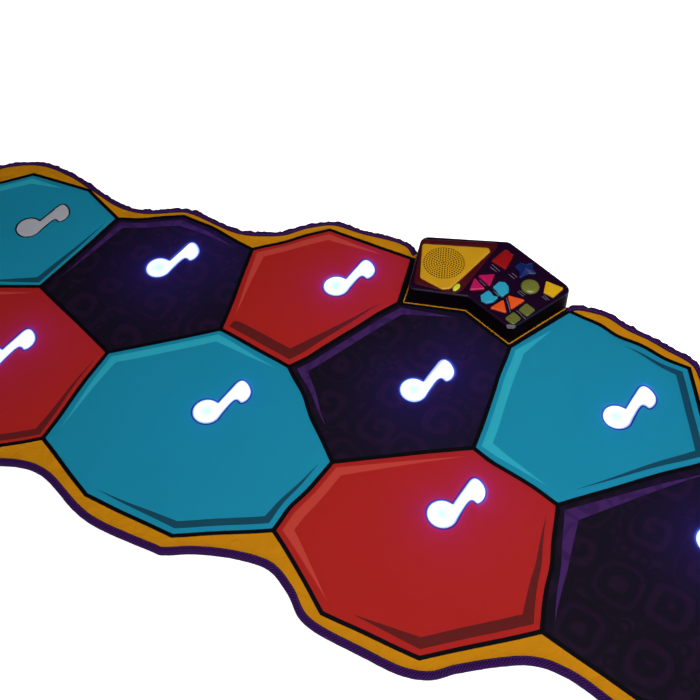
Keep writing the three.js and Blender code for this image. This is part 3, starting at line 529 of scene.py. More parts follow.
def weave_group():
    """Plain weave: threads that cross at the pitch, fuzzed, with the uneven dye of printed cloth."""
    group, given, result = effect(
        "plain_weave",
        [("Pitch", "NodeSocketFloat", 0.0009), ("Mottle", "NodeSocketFloat", 0.1),
         ("Fuzz", "NodeSocketFloat", 0.6)],
        [("Tint", "NodeSocketColor"), ("Height", "NodeSocketFloat")])
    place = place_on(group)
    split = parts_of(group, place)
    turns = maths(group, "DIVIDE", math.tau, given.outputs["Pitch"])
    threads = [maths(group, "SINE", maths(group, "MULTIPLY", split[axis], turns)) for axis in ("X", "Y")]
    fuzz = clouds(group, place, scale=700, detail=2)
    height = maths(group, "MULTIPLY_ADD", fuzz, given.outputs["Fuzz"],
                   maths(group, "MULTIPLY", *threads))
    dye = maths(group, "SUBTRACT", clouds(group, place, scale=9, detail=5), 0.5)
    tint = maths(group, "MULTIPLY_ADD", dye, given.outputs["Mottle"], 1.0)
    feed(group, result, {"Tint": tint, "Height": height})
    return group


plain_weave = weave_group()


def in_group(tree, group, inputs=None):
    """A shader group placed in a material, and its outputs."""
    return placed(tree, "ShaderNodeGroup", {"node_tree": group}, inputs).outputs


def cloth_finish(name, colour, lit=False, motif_colour=None, rumple=0.0005):
    """Coated polyester cloth in one print colour. A lit one shows the lamps' glow."""
    material, tree, shader = finish_named(name)
    weave = in_group(tree, plain_weave)
    dye = linear(colour)
    if motif_colour:
        motif = in_group(tree, tone_motifs, {"Size": MOTIF_SIZE})
        dye = blended(tree, motif["Mask"], dye, linear(motif_colour))
    threads = bumped(tree, weave["Height"], strength=0.22, depth=0.0003)
    creases = clouds(tree, place_on(tree), scale=38, detail=3, distortion=0.6)
    feed(tree, shader, {
        "Base Color": blended(tree, 1.0, dye, weave["Tint"], "MULTIPLY"),
        "Roughness": CLOTH_ROUGHNESS, "Specular IOR Level": CLOTH_SHINE,
        "Normal": bumped(tree, creases, strength=1.0, depth=rumple, under=threads)})
    if lit:
        lamp = placed(tree, "ShaderNodeAttribute", {"attribute_name": "lamp_glow"})
        feed(tree, shader, {"Emission Color": lamp.outputs["Color"], "Emission Strength": 1})
    return material


def motif_group():
    """A tone-on-tone print of no set design: rings, coils and soft squares in a loose scatter."""
    group, given, result = effect("tone_motifs", [("Size", "NodeSocketFloat", MOTIF_SIZE)],
                                  [("Mask", "NodeSocketFloat")])

    def sum_of(operation, *values, clamp=False):
        return maths(group, operation, *values, clamp=clamp)

    def scatter(scale, randomness):
        return placed(group, "ShaderNodeTexVoronoi", {"voronoi_dimensions": "2D"},
                      {"Vector": scaled, "Scale": scale, "Randomness": randomness}).outputs

    place = place_on(group)
    wobble = placed(group, "ShaderNodeTexNoise", inputs={"Vector": place, "Scale": 30, "Detail": 1})
    bent = placed(group, "ShaderNodeVectorMath", {"operation": "MULTIPLY_ADD"},
                  {0: wobble.outputs["Color"], 1: MOTIF_WOBBLE, 2: place})
    scaled = placed(group, "ShaderNodeVectorMath", {"operation": "DIVIDE"},
                    {0: bent.outputs[0], 1: given.outputs["Size"]}).outputs[0]
    # one motif in each cell: the cell's colour says whether it is a coil, and where its lines start
    cells = scatter(1.0, MOTIF_SCATTER)
    local = placed(group, "ShaderNodeVectorMath", {"operation": "SUBTRACT"},
                   {0: scaled, 1: cells["Position"]}).outputs[0]
    across, along, _ = parts_of(group, local)
    kind, start, _ = placed(group, "ShaderNodeSeparateColor", inputs={0: cells["Color"]}).outputs
    powers = [sum_of("POWER", sum_of("ABSOLUTE", part), MOTIF_SQUARENESS) for part in (across, along)]
    radius = sum_of("POWER", sum_of("ADD", *powers), 1 / MOTIF_SQUARENESS)
    turn = sum_of("DIVIDE", sum_of("ARCTAN2", along, across), math.tau)
    coil = sum_of("MULTIPLY", turn, sum_of("GREATER_THAN", kind, 0.5))
    turns = sum_of("MULTIPLY_ADD", radius, MOTIF_TURNS, coil)
    phase = sum_of("FRACT", sum_of("ADD", turns, start))
    line = sum_of("ABSOLUTE", sum_of("SUBTRACT", phase, 0.5))
    line = sum_of("MULTIPLY", sum_of("SUBTRACT", MOTIF_LINE, line), LINE_SHARPNESS, clamp=True)
    within = sum_of("MULTIPLY", sum_of("SUBTRACT", MOTIF_RADIUS, radius), EDGE_SHARPNESS, clamp=True)
    # small rings fill the room between the motifs
    outside = sum_of("MULTIPLY", sum_of("SUBTRACT", radius, RING_ROOM), EDGE_SHARPNESS, clamp=True)
    rings = scatter(RING_SCALE, RING_SCATTER)["Distance"]
    rings = sum_of("ABSOLUTE", sum_of("SUBTRACT", rings, RING_RADIUS))
    rings = sum_of("MULTIPLY", sum_of("SUBTRACT", rings, RING_LINE), LINE_SHARPNESS, clamp=True)
    feed(group, result, {"Mask": sum_of("ADD", sum_of("MULTIPLY", line, within),
                                        sum_of("MULTIPLY", outside, rings))})
    return group


tone_motifs = motif_group()


def drawn(points):
    """Corner names and pairs of numbers as one array of plan points."""
    return np.array([SEAMS[point] if isinstance(point, str) else point for point in points], float)


def band_outline(corners, ends, gap, width):
    """A printed strip inside an outline that narrows to nothing at both ends."""
    outer, inner = grown(corners, -gap), grown(corners, -gap - width)
    tip = grown(corners, -gap - BAND_TIP * width)
    (first, first_share), (last, last_share) = ends
    count = len(corners)
    between = [(first + 1 + k) % count for k in range((last - first) % count)]

    def on_edge(edge, share):
        return tip[edge] + (tip[(edge + 1) % count] - tip[edge]) * share

    return np.array([on_edge(first, first_share), *outer[between],
                     on_edge(last, last_share), *inner[between[::-1]]])


def note_outline(centre, grow=0):
    """An eighth note with a round head, its flag to the right of its stem."""
    start, end = (math.atan2(y, x) for x, y in NOTE_HEAD_ENDS)
    angles = np.linspace(start, end + math.tau, NOTE_HEAD_STEPS)[1:-1]
    head = np.stack([NOTE_HEAD_RADIUS * np.cos(angles), NOTE_HEAD_RADIUS * np.sin(angles)], 1)
    shape = smooth_loop(np.vstack([head, NOTE_STEM_AND_FLAG]), NOTE_STEPS)
    return grown(shape, grow) + np.array(centre)


def panel_outline(panel, inset=0):
    """A panel's edge inside its seams, or a line further in, with rounded corners."""
    corners = grown(drawn(panel["corners"]), -SEAM_HALF_WIDTH - inset)
    return rounded(corners, PANEL_CORNER_RADIUS, PANEL_CORNER_STEPS)


def panel_height(points, outline):
    """The padded surface: low at the seam, rising to a soft crown a few centimetres in."""
    depth = distance_to(points, outline)
    crown = 1 - np.exp(-depth / PANEL_RISE_REACH)
    return PANEL_EDGE + PANEL_RISE * crown + swell(points) * np.clip(depth / SWELL_RAMP, 0, 1)


def lamp_glow(points, outline, dye):
    """Blue light that leaks through the cloth round a lit note, strongest at its very edge."""
    reach = distance_to(points, outline)
    layers = [*GLOW_EDGE, (HALO_REACH, HALO[dye])]
    light = sum(np.exp(-reach / fade)[:, None] * np.array(colour) for fade, colour in layers)
    drifted = distance_to(points - HAZE_DRIFT, outline) / HAZE_REACH
    return light + np.exp(-drifted ** 2)[:, None] * np.array(HAZE[dye])


noise.seed_set(DRIFT_SEED)
cloths = {
    name: cloth_finish(f"cloth_{name}", colour, lit=True, motif_colour=MOTIF_COLOURS.get(name))
    for name, colour in CLOTH_COLOURS.items()
}

for number, panel in enumerate(PANELS, start=1):
    colour = panel["colour"]
    edge = panel_outline(panel)
    opening = note_outline(panel["note"], WINDOW_GAP)
    line = note_outline(panel["note"], WINDOW_GAP + NOTE_LINE_WIDTH)
    steps = [spaced(panel_outline(panel, step), CLOTH_SPACING) for step in EDGE_STEPS]
    prints = [
        band_outline(drawn(panel["corners"]), panel[band], panel.get(f"{band}_gap", gap),
                     panel.get(f"{band}_width", width))
        for band, (gap, width) in BANDS.items() if panel[band]
    ]
    coarse = scattered(edge, CLOTH_SPACING)
    coarse = coarse[inside(coarse, steps[-1]) & ~inside(coarse, opening)]
    coarse = clear_of(clear_of(coarse, [opening], NOTE_REACH), [steps[-1]], LOOP_CLEARANCE)
    fine = np.vstack([scattered(line, FINE_SPACING), scattered(grown(line, NOTE_REACH), FINE_SPACING)])
    fine = clear_of(fine[~inside(fine, line)], [line], NOTE_CLEARANCE)
    fine = fine[distance_to(fine, line) < NOTE_REACH - LOOP_CLEARANCE]
    points, faces = filled(
        spaced(edge, CLOTH_SPACING), [opening],
        [*steps, line, *[note_outline(panel["note"], reach) for reach in NOTE_LOOPS],
         *[spaced(strip, CLOTH_SPACING) for strip in prints]],
        [coarse, fine])
    middles = points[faces].mean(1)
    finishes = [cloths[colour], cloths[f"{colour}_light"],
                cloths.get(f"{colour}_dark", cloths["black"]), cloths["black"]]
    finish_of_face = np.zeros(len(faces), int)
    for index, strip in enumerate(prints, start=1):
        finish_of_face[inside(middles, strip)] = index
    finish_of_face[inside(middles, line)] = len(finishes) - 1
    pad = cloth_mesh(f"step_panel_{number}_{colour}", points, faces, panel_height(points, edge),
                     finish_of_face, PANEL_BOTTOM, finishes)
    glow = lamp_glow(plan_of(pad), opening, colour)
    painted_points(pad, "lamp_glow", glow * (number != UNLIT_PANEL))
    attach(pad, f"step_panel_{number}")
    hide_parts(f"pad_{number}_{colour}")

# Note windows: one translucent moulding in each panel, lit from below by a lamp under its head.
# They glow white, bluer towards their rims. The lamp of the first panel is off in the photograph.
WINDOW_BOTTOM = 8.6
WINDOW_SINK = 0.12
WINDOW_DOME = 0.35
WINDOW_DOME_REACH = 1.2
WINDOW_STEPS = [0.25, 0.7, 1.4, 2.6]
WINDOW_CLEARANCE = 1.2
WINDOW_UNLIT = [(168, 168, 178), (180, 180, 190)]
WINDOW_MILK = (0.3, 0.3, 0.3, 1)
WINDOW_ROUGHNESS = 0.35
WINDOW_LIGHT = np.array([0.96, 0.98, 1.0])
# The light's colour towards the rim, and how far in it reaches
WINDOW_RIM = [(1.6, (0.36, 0.6, 1.0)), (0.55, (0.08, 0.2, 0.9))]
# What the lamp's own blue takes from the light over it
LAMP_TINT = np.array([0.52, 0.0, 0.0])
LAMP_REACH = 11


def lit_window_finish():
    """Milky plastic with the lamp's light coming through."""
    material, tree, shader = finish_named("note_window_lit")
    light = placed(tree, "ShaderNodeAttribute", {"attribute_name": "lamp_light"})
    feed(tree, shader, {"Base Color": WINDOW_MILK, "Roughness": WINDOW_ROUGHNESS,
                        "Emission Color": light.outputs["Color"], "Emission Strength": 1})
    return material


def unlit_window_finish():
    """The same milky plastic with its lamp off, a little cloudy."""
    material, tree, shader = finish_named("note_window_unlit")
    cloud = clouds(tree, place_on(tree), scale=60, detail=3)
    feed(tree, shader, {"Base Color": blended(tree, cloud, *[linear(colour) for colour in WINDOW_UNLIT]),
                        "Roughness": WINDOW_ROUGHNESS})
    return material


window_lit, window_unlit = lit_window_finish(), unlit_window_finish()
for number, panel in enumerate(PANELS, start=1):
    outline = note_outline(panel["note"])
    steps = [note_outline(panel["note"], -step) for step in WINDOW_STEPS]
    spots = scattered(outline, FINE_SPACING)
    spots = clear_of(spots[inside(spots, steps[-1])], [steps[-1]], WINDOW_CLEARANCE)
    points, faces = filled(outline, (), steps, [spots])
    dome = WINDOW_DOME * (1 - np.exp(-distance_to(points, outline) / WINDOW_DOME_REACH))
    heights = panel_height(points, panel_outline(panel)) - WINDOW_SINK + dome
    window = cloth_mesh(f"note_window_{number}_lamp", points, faces, heights, np.zeros(len(faces)),
                        WINDOW_BOTTOM, [window_unlit if number == UNLIT_PANEL else window_lit])
    place = plan_of(window)
    from_lamp = np.linalg.norm(place - np.array(panel["note"]), axis=1) / LAMP_REACH
    light = WINDOW_LIGHT - np.exp(-from_lamp ** 2)[:, None] * LAMP_TINT
    depth = np.where(inside(place, outline), distance_to(place, outline), 0)
    for fade, colour in WINDOW_RIM:
        share = np.exp(-depth / fade)[:, None]
        light = light * (1 - share) + share * np.array(colour)
    painted_points(window, "lamp_light", light)
    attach(window, f"step_panel_{number}")
    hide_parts(f"note_window_{number}")

# Top cover: the rest of the printed cloth, laminated to thin foam. It is the ochre border and the
# black lines between the panels, with a narrow ochre line round the foot of the console.
RIM = np.array([
    (-597, 34), (-541, 31), (-496, 52), (-451, 83), (-390, 86), (-350.5, 96), (-307, 126), (-279, 163),
    (-251, 190), (-201.5, 201), (-147, 216), (-124, 215), (-100, 204), (112, 236), (135, 253.5),
    (165, 262), (196, 263.5), (224, 261.5), (311, 257), (342, 228), (384, 173), (428, 157), (486, 167),
    (548, 149), (602, 112), (632, 52), (635, -24), (612, -102), (583, -167), (532, -209), (460, -228),
    (375, -226), (337, -236.5), (279, -290), (258, -315), (231.5, -328.5), (189, -336.5), (100, -344.5),
    (59.5, -327), (19.5, -318.5), (-56, -353), (-84, -374.5), (-91.5, -379.5), (-101, -381.5),
    (-140, -389.5), (-205, -398.5), (-288, -385.5), (-326.5, -394), (-385, -434), (-440, -470),
    (-505, -476), (-573, -459), (-624, -415), (-662, -355), (-664, -290), (-690, -232), (-744, -205),
    (-785, -155), (-795, -90), (-774, -20), (-722, 26), (-660, 37),
])
RIM_STEPS = 1000
COVER_INSET = 2
COVER_STEPS = [6, 11]
COVER_BOTTOM = 8.0
COVER_TOP = 9.4
COVER_SWELL = 0.35
COVER_CLEARANCE = 2.5
LINE_CLEARANCE = 2
OUTLINE_REACH = 2.7
OUTLINE_RADIUS = 2
OUTLINE_CORNER_STEPS = 2
PANEL_GAP = 0.03
CONSOLE_CLAMP = 8
CONSOLE_LINES = [(3.0, 1.0), (4.7, 2.7)]
CONSOLE_LINE_SLANT = np.array([7, 0])
BLACK_SURROUND = ["h", "g", "notch", "k", "l", (112, 236), (-103, 200)]
# The cloth puckers beside its binding in waves of a length, a phase and a share of the height
PUCKERS = [(11, 1.3, 1), (5, 7.7, 0.6)]
PUCKER_HEIGHT = 0.55
PUCKER_REACH = 14
PUCKER_START = 4
PUCKER_RAMP = 20
OCHRE = (193, 127, 13)
OCHRE_RUMPLE = 0.005

rim = smooth_loop(RIM, RIM_STEPS)
cover_edge = grown(rim, -COVER_INSET)
clamp = spaced(grown(CONSOLE, -CONSOLE_CLAMP), CLOTH_SPACING)
openings = [grown(spaced(panel_outline(panel), CLOTH_SPACING), PANEL_GAP) for panel in PANELS]
black_edges = [
    spaced(rounded(grown(drawn(panel["corners"]), OUTLINE_REACH), OUTLINE_RADIUS, OUTLINE_CORNER_STEPS),
           CLOTH_SPACING)
    for panel in PANELS
]
console_lines = []
for reach, radius in CONSOLE_LINES:
    line = grown(CONSOLE, reach)
    line[-1] += CONSOLE_LINE_SLANT
    console_lines.append(spaced(rounded(line, radius, PANEL_CORNER_STEPS), CLOTH_SPACING))
spots = scattered(cover_edge, CLOTH_SPACING)
spots = clear_of(spots[inside(spots, cover_edge)], [cover_edge], COVER_CLEARANCE)
spots = clear_of(spots, [*openings, *black_edges, *console_lines], LINE_CLEARANCE)
for opening in (*openings, clamp):
    spots = spots[~inside(spots, opening)]
black_surround = drawn(BLACK_SURROUND)
points, faces = filled(
    cover_edge, [clamp, *openings],
    [*black_edges, black_surround, *console_lines, *[grown(rim, -inset) for inset in COVER_STEPS]],
    [spots])
middles = points[faces].mean(1)
is_black = np.zeros(len(faces), bool)
for edge in (*black_edges, black_surround):
    is_black |= inside(middles, edge)
is_black &= ~inside(middles, console_lines[1])
is_black |= inside(middles, console_lines[0])
pucker = sum(share * waves(points, length, phase) for length, phase, share in PUCKERS)
pucker *= PUCKER_HEIGHT * np.exp(-distance_to(points, rim) / PUCKER_REACH)
loose = np.clip((distance_to(points, CONSOLE) - PUCKER_START) / PUCKER_RAMP, 0, 1)
cover = cloth_mesh("printed_cover", points, faces,
                   COVER_TOP + loose * (pucker + COVER_SWELL * swell(points)),
                   is_black, COVER_BOTTOM,
                   [cloth_finish("cloth_ochre", OCHRE, rumple=OCHRE_RUMPLE),
                    cloth_finish("cloth_outline", CLOTH_COLOURS["black"])])
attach(cover, "mat")
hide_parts("top_cover")

# Edge binding: purple twill tape, folded over the edge of every layer and stitched down through
# them all. It is eased round the curves, so it lies in small lumps. It ends at the console's sides.
# Each point of the tape's section is how far it lies inside the rim, and its height.
BINDING_SECTION = np.array([
    (10, 0.3), (3.6, 0.3), (2.5, 0.9), (1.5, 2.6), (0.7, 5.2), (0.6, 8.0), (1.1, 10.0), (2.4, 11.4),
    (4.4, 12.1), (6.6, 11.9), (8.8, 11.0), (10, 9.85), (9.9, 9.7), (7.0, 9.7), (2.9, 9.7),
    (1.8, 9.0), (1.6, 5.5), (2.2, 2.9), (3.2, 1.0), (10, 0.95),
])
BINDING_OUTSIDE = range(2, 11)
BINDING_CREASE = 60
# Painted shade: how much of its colour the tape keeps at each point of its section, along the front and
# along the back. It is painted darkest where it turns under, and along the back its outer side is painted
# dark too, as shade.
TAPE_PAINTED_SHADING = {
    "front": [0, 0, 0, 0, 0.2, 0.8, 1, 1, 0.95, 0.9, 0.9, 0.5, 0, 0, 0, 0, 0, 0, 0, 0],
    "back": [0, 0, 0, 0, 0.1, 0.2, 0.3, 0.35, 0.8, 1, 0.8, 0.1, 0, 0, 0, 0, 0, 0, 0, 0],
}
TAPE_COLOUR = (66, 22, 100)
TAPE_SHADE = (14, 5, 28)
THREAD_COLOUR = (84, 50, 120)
TWILL_PITCH = 3.8
TWILL_SLANT = 0.9
PICK_PITCH = 1.9
PICK_HEIGHT = 0.4
CONSOLE_GAP = 0.4
# Lumps: waves of a length and a phase. They push the tape's side out and lift its top.
LUMP_WAVES = [(12, 0.3), (5, 8.3)]
LUMP_ROW = 2.0
LUMP_HEIGHT = 1.7
LUMP_LOWEST = -0.9
LUMPS_AT_FRONT = 0.2
LUMP_OUT = 0.9
LUMP_UP = 0.8
SIDE_INSET = 3
TOP_HEIGHT = 9
STITCH_INSET = 8.0
STITCH_HEIGHT = 11.4
STITCH_PITCH = 3.6
STITCH_LENGTH = 2.7
STITCH_RADIUS = 0.3
STITCH_DIP = 0.25
STITCH_SIDES = 6
# A stitch's girth along its length, both as shares
STITCH_SHAPE = [(0, 0.35), (0.2, 1), (0.8, 1), (1, 0.35)]


def at_back(inwards):
    """1 where the tape runs along the mat's back, 0 at its front, and between them at its ends."""
    return np.clip(0.5 - inwards[1], 0, 1)


def lump(travel, inwards):
    """How much the tape stands out of its line. It is looser along the mat's back than at its front."""
    wave = sum(noise.noise(Vector((travel / length, phase, LUMP_ROW))) for length, phase in LUMP_WAVES)
    looseness = LUMPS_AT_FRONT + (1 - LUMPS_AT_FRONT) * at_back(inwards)
    return looseness * max(LUMP_HEIGHT * wave, LUMP_LOWEST)


def twill_finish():
    """Twill tape: slanting ribs painted lighter as lit, between grooves painted darker as shade, with painted
    shade where the tape turns under.
    """
    material, tree, shader = finish_named("twill_tape")
    tape = placed(tree, "ShaderNodeAttribute", {"attribute_name": "tape"}).outputs["Vector"]
    along, across, tone = parts_of(tree, tape)
    slant = maths(tree, "MULTIPLY_ADD", across, TWILL_SLANT, along)
    ribs = maths(tree, "SINE", maths(tree, "MULTIPLY", slant, math.tau / TWILL_PITCH))
    picks = maths(tree, "SINE", maths(tree, "MULTIPLY", across, math.tau / PICK_PITCH))
    height = maths(tree, "MULTIPLY_ADD", picks, PICK_HEIGHT, ribs)
    # painted highlight on the ribs, painted shade in the grooves and, by the tape's third number, where it
    # turns under
    lit = maths(tree, "MULTIPLY", ranged(tree, height, (-1, 1)), tone)
    feed(tree, shader, {
        "Base Color": blended(tree, lit, linear(TAPE_SHADE), linear(TAPE_COLOUR)),
        "Roughness": 0.75, "Specular IOR Level": 0.05,
        "Normal": bumped(tree, height, strength=0.6, depth=0.0004)})
    return material


def thread_finish():
    """Twisted sewing thread, a shade paler than the tape."""
    material, tree, shader = finish_named("purple_thread")
    ply = clouds(tree, place_on(tree), scale=2500, detail=2)
    feed(tree, shader, {"Base Color": blended(tree, ply, linear(THREAD_COLOUR), linear(TAPE_COLOUR)),
                        "Roughness": 0.7})
    return material


def joined(shape, loops, finish=0):
    """A skin of faces from each loop of corners to the next."""
    for low, high in zip(loops, loops[1:]):
        for k in range(len(low)):
            after = (k + 1) % len(low)
            shape.faces.new([low[k], low[after], high[after], high[k]]).material_index = finish


def strand(shape, loops):
    """A solid strand through the loops, closed at both ends."""
    joined(shape, loops)
    shape.faces.new(loops[0])
    shape.faces.new(loops[-1])


shut = inside(rim, grown(CONSOLE, CONSOLE_GAP))
first = next(k for k in range(len(rim)) if not shut[k] and shut[k - 1])
run = [(first + k) % len(rim) for k in range(len(rim)) if not shut[(first + k) % len(rim)]]
ahead_of = np.roll(rim, -1, 0) - np.roll(rim, 1, 0)
ahead_of /= np.linalg.norm(ahead_of, axis=1)[:, None]
inwards = np.stack([-ahead_of[:, 1], ahead_of[:, 0]], 1) * facing(rim)
step = np.linalg.norm(rim[1] - rim[0])
run_length = step * (len(run) - 1)
section_steps = np.linalg.norm(np.diff(BINDING_SECTION, axis=0), axis=1)
section_travel = np.concatenate([[0], np.cumsum(section_steps)])
shape = bmesh.new()
tape_layer = shape.verts.layers.float_vector.new("tape")
loops = []
for order, index in enumerate(run):
    loop = []
    back = at_back(inwards[index])
    for part, (inset, height) in enumerate(BINDING_SECTION):
        out = lump(order * step, inwards[index]) if part in BINDING_OUTSIDE else 0
        spot = rim[index] + inwards[index] * (inset - LUMP_OUT * out * (inset < SIDE_INSET))
        spot = settled(spot[None])[0] + PLAN_SHIFT
        corner = shape.verts.new((*(spot * MM), (height + LUMP_UP * out * (height > TOP_HEIGHT)) * MM))
        # the tape's painted shade here: its share of colour kept, between the front's and the back's
        tone = TAPE_PAINTED_SHADING["front"][part] * (1 - back) + TAPE_PAINTED_SHADING["back"][part] * back
        corner[tape_layer] = (order * step, section_travel[part], tone)
        loop.append(corner)
    loops.append(loop)
strand(shape, loops)
bmesh.ops.recalc_face_normals(shape, faces=shape.faces)
binding = mesh_piece("binding_tape", shape, [twill_finish()], BINDING_CREASE)

shape = bmesh.new()
for travel in np.arange(0, run_length - STITCH_LENGTH, STITCH_PITCH):
    loops = []
    for share, girth in STITCH_SHAPE:
        there = travel + STITCH_LENGTH * share
        index = run[int(there / step)]
        side, reach = inwards[index], STITCH_RADIUS * girth
        spot = rim[index] + ahead_of[index] * (there % step) + side * STITCH_INSET
        spot = settled(spot[None])[0] + PLAN_SHIFT
        height = STITCH_HEIGHT + LUMP_UP * lump(there, side) - STITCH_DIP * (1 - girth)
        loops.append([
            shape.verts.new((*((spot + side * reach * math.cos(angle)) * MM),
                             (height + reach * math.sin(angle)) * MM))
            for angle in np.arange(STITCH_SIDES) * math.tau / STITCH_SIDES
        ])
    strand(shape, loops)
bmesh.ops.recalc_face_normals(shape, faces=shape.faces)
stitches = mesh_piece("binding_stitches", shape, [thread_finish()], BINDING_CREASE)
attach(binding, "mat")
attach(stitches, "mat")
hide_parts("edge_binding")

# Soft layers inside: the rubber backing that grips the floor, the foam core that pads the mat and
# the spacer foam that holds the panels off the lamps. All are cut to the mat's outline. The spacer
# is pressed thinner under each panel, which leaves the panel room to move.
LAYERS = [
    {"name": "grip_backing", "node": "anti_slip_backing", "slot": "backing_rubber", "inset": 10.5,
     "bottom": 0.0, "top": 1.2, "colour": (26, 26, 28), "cell": 0.006, "console_gap": 0.3},
    {"name": "foam_core_sheet", "node": "foam_core", "slot": "foam", "inset": 8,
     "bottom": 1.5, "top": 3.5, "colour": (216, 216, 208), "cell": 0.0012, "console_gap": -8},
    {"name": "spacer_foam_sheet", "node": "spacer_foam", "slot": "foam", "inset": 8,
     "bottom": 5.1, "top": 7.7, "colour": (232, 232, 226), "cell": 0.0012, "console_gap": -8},
]
LAYER_RIM_STEPS = 240
LAMP_HOLE_RADIUS = 12
LAMP_HOLE_STEPS = 24
POCKET_FLOOR = 6.3
POCKET_REACH = 0.9
POCKET_STEP = 0.3


def foam_finish(name, colour, cell):
    """Foam or dimpled rubber: small round cells in one colour, darker between them."""
    material, tree, shader = finish_named(name)
    cells = placed(tree, "ShaderNodeTexVoronoi",
                   inputs={"Vector": place_on(tree), "Scale": 1 / cell, "Randomness": 0.6})
    tint = ranged(tree, cells.outputs["Distance"], (0, 1), (1.0, 0.8))
    feed(tree, shader, {"Base Color": blended(tree, 1.0, linear(colour), tint, "MULTIPLY"),
                        "Roughness": 0.9, "Normal": bumped(tree, tint, strength=0.5, depth=0.0005)})
    return material


def ring_of(count, radius, turned=0):
    """Points on a circle about the plan's middle, anticlockwise, turned by a share of their spacing."""
    angles = (np.arange(count) + turned) * math.tau / count
    return radius * np.stack([np.cos(angles), np.sin(angles)], 1)


layer_rim = smooth_loop(RIM, LAYER_RIM_STEPS)
for layer in LAYERS:
    holes, pockets, shoulders = [grown(CONSOLE, layer["console_gap"])], [], []
    if layer["node"] == "spacer_foam":
        lamp_hole = ring_of(LAMP_HOLE_STEPS, LAMP_HOLE_RADIUS)
        holes += [lamp_hole + np.array(panel["note"]) for panel in PANELS]
        pockets = [grown(opening, POCKET_REACH) for opening in openings]
        shoulders = [grown(opening, POCKET_REACH + POCKET_STEP) for opening in openings]
    points, faces = filled(grown(layer_rim, -layer["inset"]), holes, [*pockets, *shoulders])
    heights = np.full(len(points), layer["top"])
    for pocket in pockets:
        heights[inside(points, grown(pocket, POCKET_STEP / 2))] = POCKET_FLOOR
    foam = cloth_mesh(layer["name"], points, faces, heights, np.zeros(len(faces)), layer["bottom"],
                      [foam_finish(layer["name"], layer["colour"], layer["cell"])])
    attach(foam, "mat")
    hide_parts(layer["node"])

# Console's upper shell: one semi-gloss moulding with drafted walls and a soft top edge, sunk for the
# speaker's bezel and open for the lens and twelve buttons. Four screws hold it to the base.
SHELL_BOTTOM = 9.7
SHELL_TOP = 36
SHELL_UNDER = 33
SHELL_DRAFT = 0.5
SHELL_WALL = 1.9
SHELL_CORNER_RADII = np.array([12, 9, 10, 16, 12, 15])
SHELL_CREASE = 25
LEAST_RADIUS = 2
CORNER_STEPS = 8
# The soft top edge: how far in it has come at each height
SHELL_EDGE = [(0.5, 33.2), (0.6, 33.9), (0.8, 34.6), (1.2, 35.25), (1.8, 35.75), (2.5, 36)]
# The facet cuts this corner: how deep at its foot and at its top, and how high it is
FRONT_CORNER = 2
FACET_FOOT = 4.6
FACET_TOP = 7.6
FACET_HEIGHT = 4.5
# The finishes of the shell's faces: name, colour, gloss and shine. They are lit and shaded copies of one
# plum plastic: the walls are painted near-black as shade, the soft edge a little darker, and the facet at
# the front corner painted pale as its glint. A face gets its finish by how far up it looks, and the facet
# also by looking ahead.
SHELL_FINISHES = [
    ("plum_plastic", (25, 4, 31), 0.38, 0.06), ("plum_plastic_edge", (18, 6, 24), 0.25, 0.25),
    ("plum_plastic_walls_painted_shade", (9, 5, 12), 0.4, 0.015), ("plum_plastic_facet_painted_glint", (44, 32, 56), 0.24, 0.13),
]
TOP_FACE, EDGE_FACE, WALL_FACE, FACET_FACE = range(4)
TOP_TILT = 0.9
EDGE_TILT = 0.12
FACET_TILT = (0.4, 0.65)
FACET_AHEAD = 0.4
LIP = [(0.7, 0), (0.35, 0.08), (0.1, 0.3), (0, 0.7)]
RECESS_FLOOR = 34.5
BEZEL = [(-69, 134), (-12, 150), (-5, 162), (-8, 271), (-106.5, 211)]
BEZEL_RADIUS = 7
BEZEL_CORNER_STEPS = 6
SPEAKER_CENTRE = np.array([-54, 190])
SPEAKER_RADIUS = 30
LENS_CENTRE = np.array([-15, 162])
LENS_HALF = np.array([4.1, 7.7])
FIT_GAP = 0.3
ONE_POINT = 2e-6
BUTTON_RADIUS = 2
BUTTON_CORNER_STEPS = 5
BUTTONS = [
    {"name": "red_kite", "colour": (146, 6, 12), "peak": 2.2,
     "outline": [(5.5, 263.5), (20.5, 259), (25, 229.5), (-0.5, 231.5), (2.5, 251)]},
    {"name": "blue_star", "colour": (10, 30, 94), "peak": 2.4,
     "outline": [(35.5, 252.5), (43.5, 254.5), (51, 262), (55.5, 253), (65.5, 247), (56, 240.5),
                 (49.5, 225.5), (42.5, 237), (32.5, 241.5)]},
    {"name": "yellow_trapezoid", "colour": (218, 166, 12),
     "outline": [(82.5, 243), (109.5, 245.5), (105.5, 222.5), (90, 222.5)]},
    {"name": "magenta_up", "colour": (182, 16, 84), "outline": [(17, 213), (-2, 197), (23, 189.5)]},
    {"name": "magenta_down", "colour": (182, 16, 84), "outline": [(-3.5, 191), (20.5, 181.5), (3, 167)]},
    {"name": "cyan_up", "colour": (40, 154, 186),
     "outline": [(27, 190), (34, 188), (39, 184), (47, 183), (50, 196), (45, 204), (37, 208), (29, 204)]},
    {"name": "cyan_down", "colour": (40, 154, 186),
     "outline": [(25, 182), (32, 180), (36, 177), (43, 180), (42, 168), (35, 160), (27, 160), (21, 167)]},
    {"name": "orange_up", "colour": (224, 80, 22), "outline": [(51.5, 189.5), (76.5, 196), (68.5, 170)]},
    {"name": "orange_down", "colour": (224, 80, 22), "outline": [(51, 179.5), (67, 161.5), (43, 155.5)]},
    {"name": "olive_up", "colour": (98, 102, 42), "radius": 3,
     "outline": [(80, 192), (96.5, 188.5), (93, 172), (77, 175)]},
    {"name": "olive_down", "colour": (98, 102, 42), "radius": 3,
     "outline": [(74, 168.5), (88.5, 164.5), (85, 148.5), (69.5, 151.5)]},
]
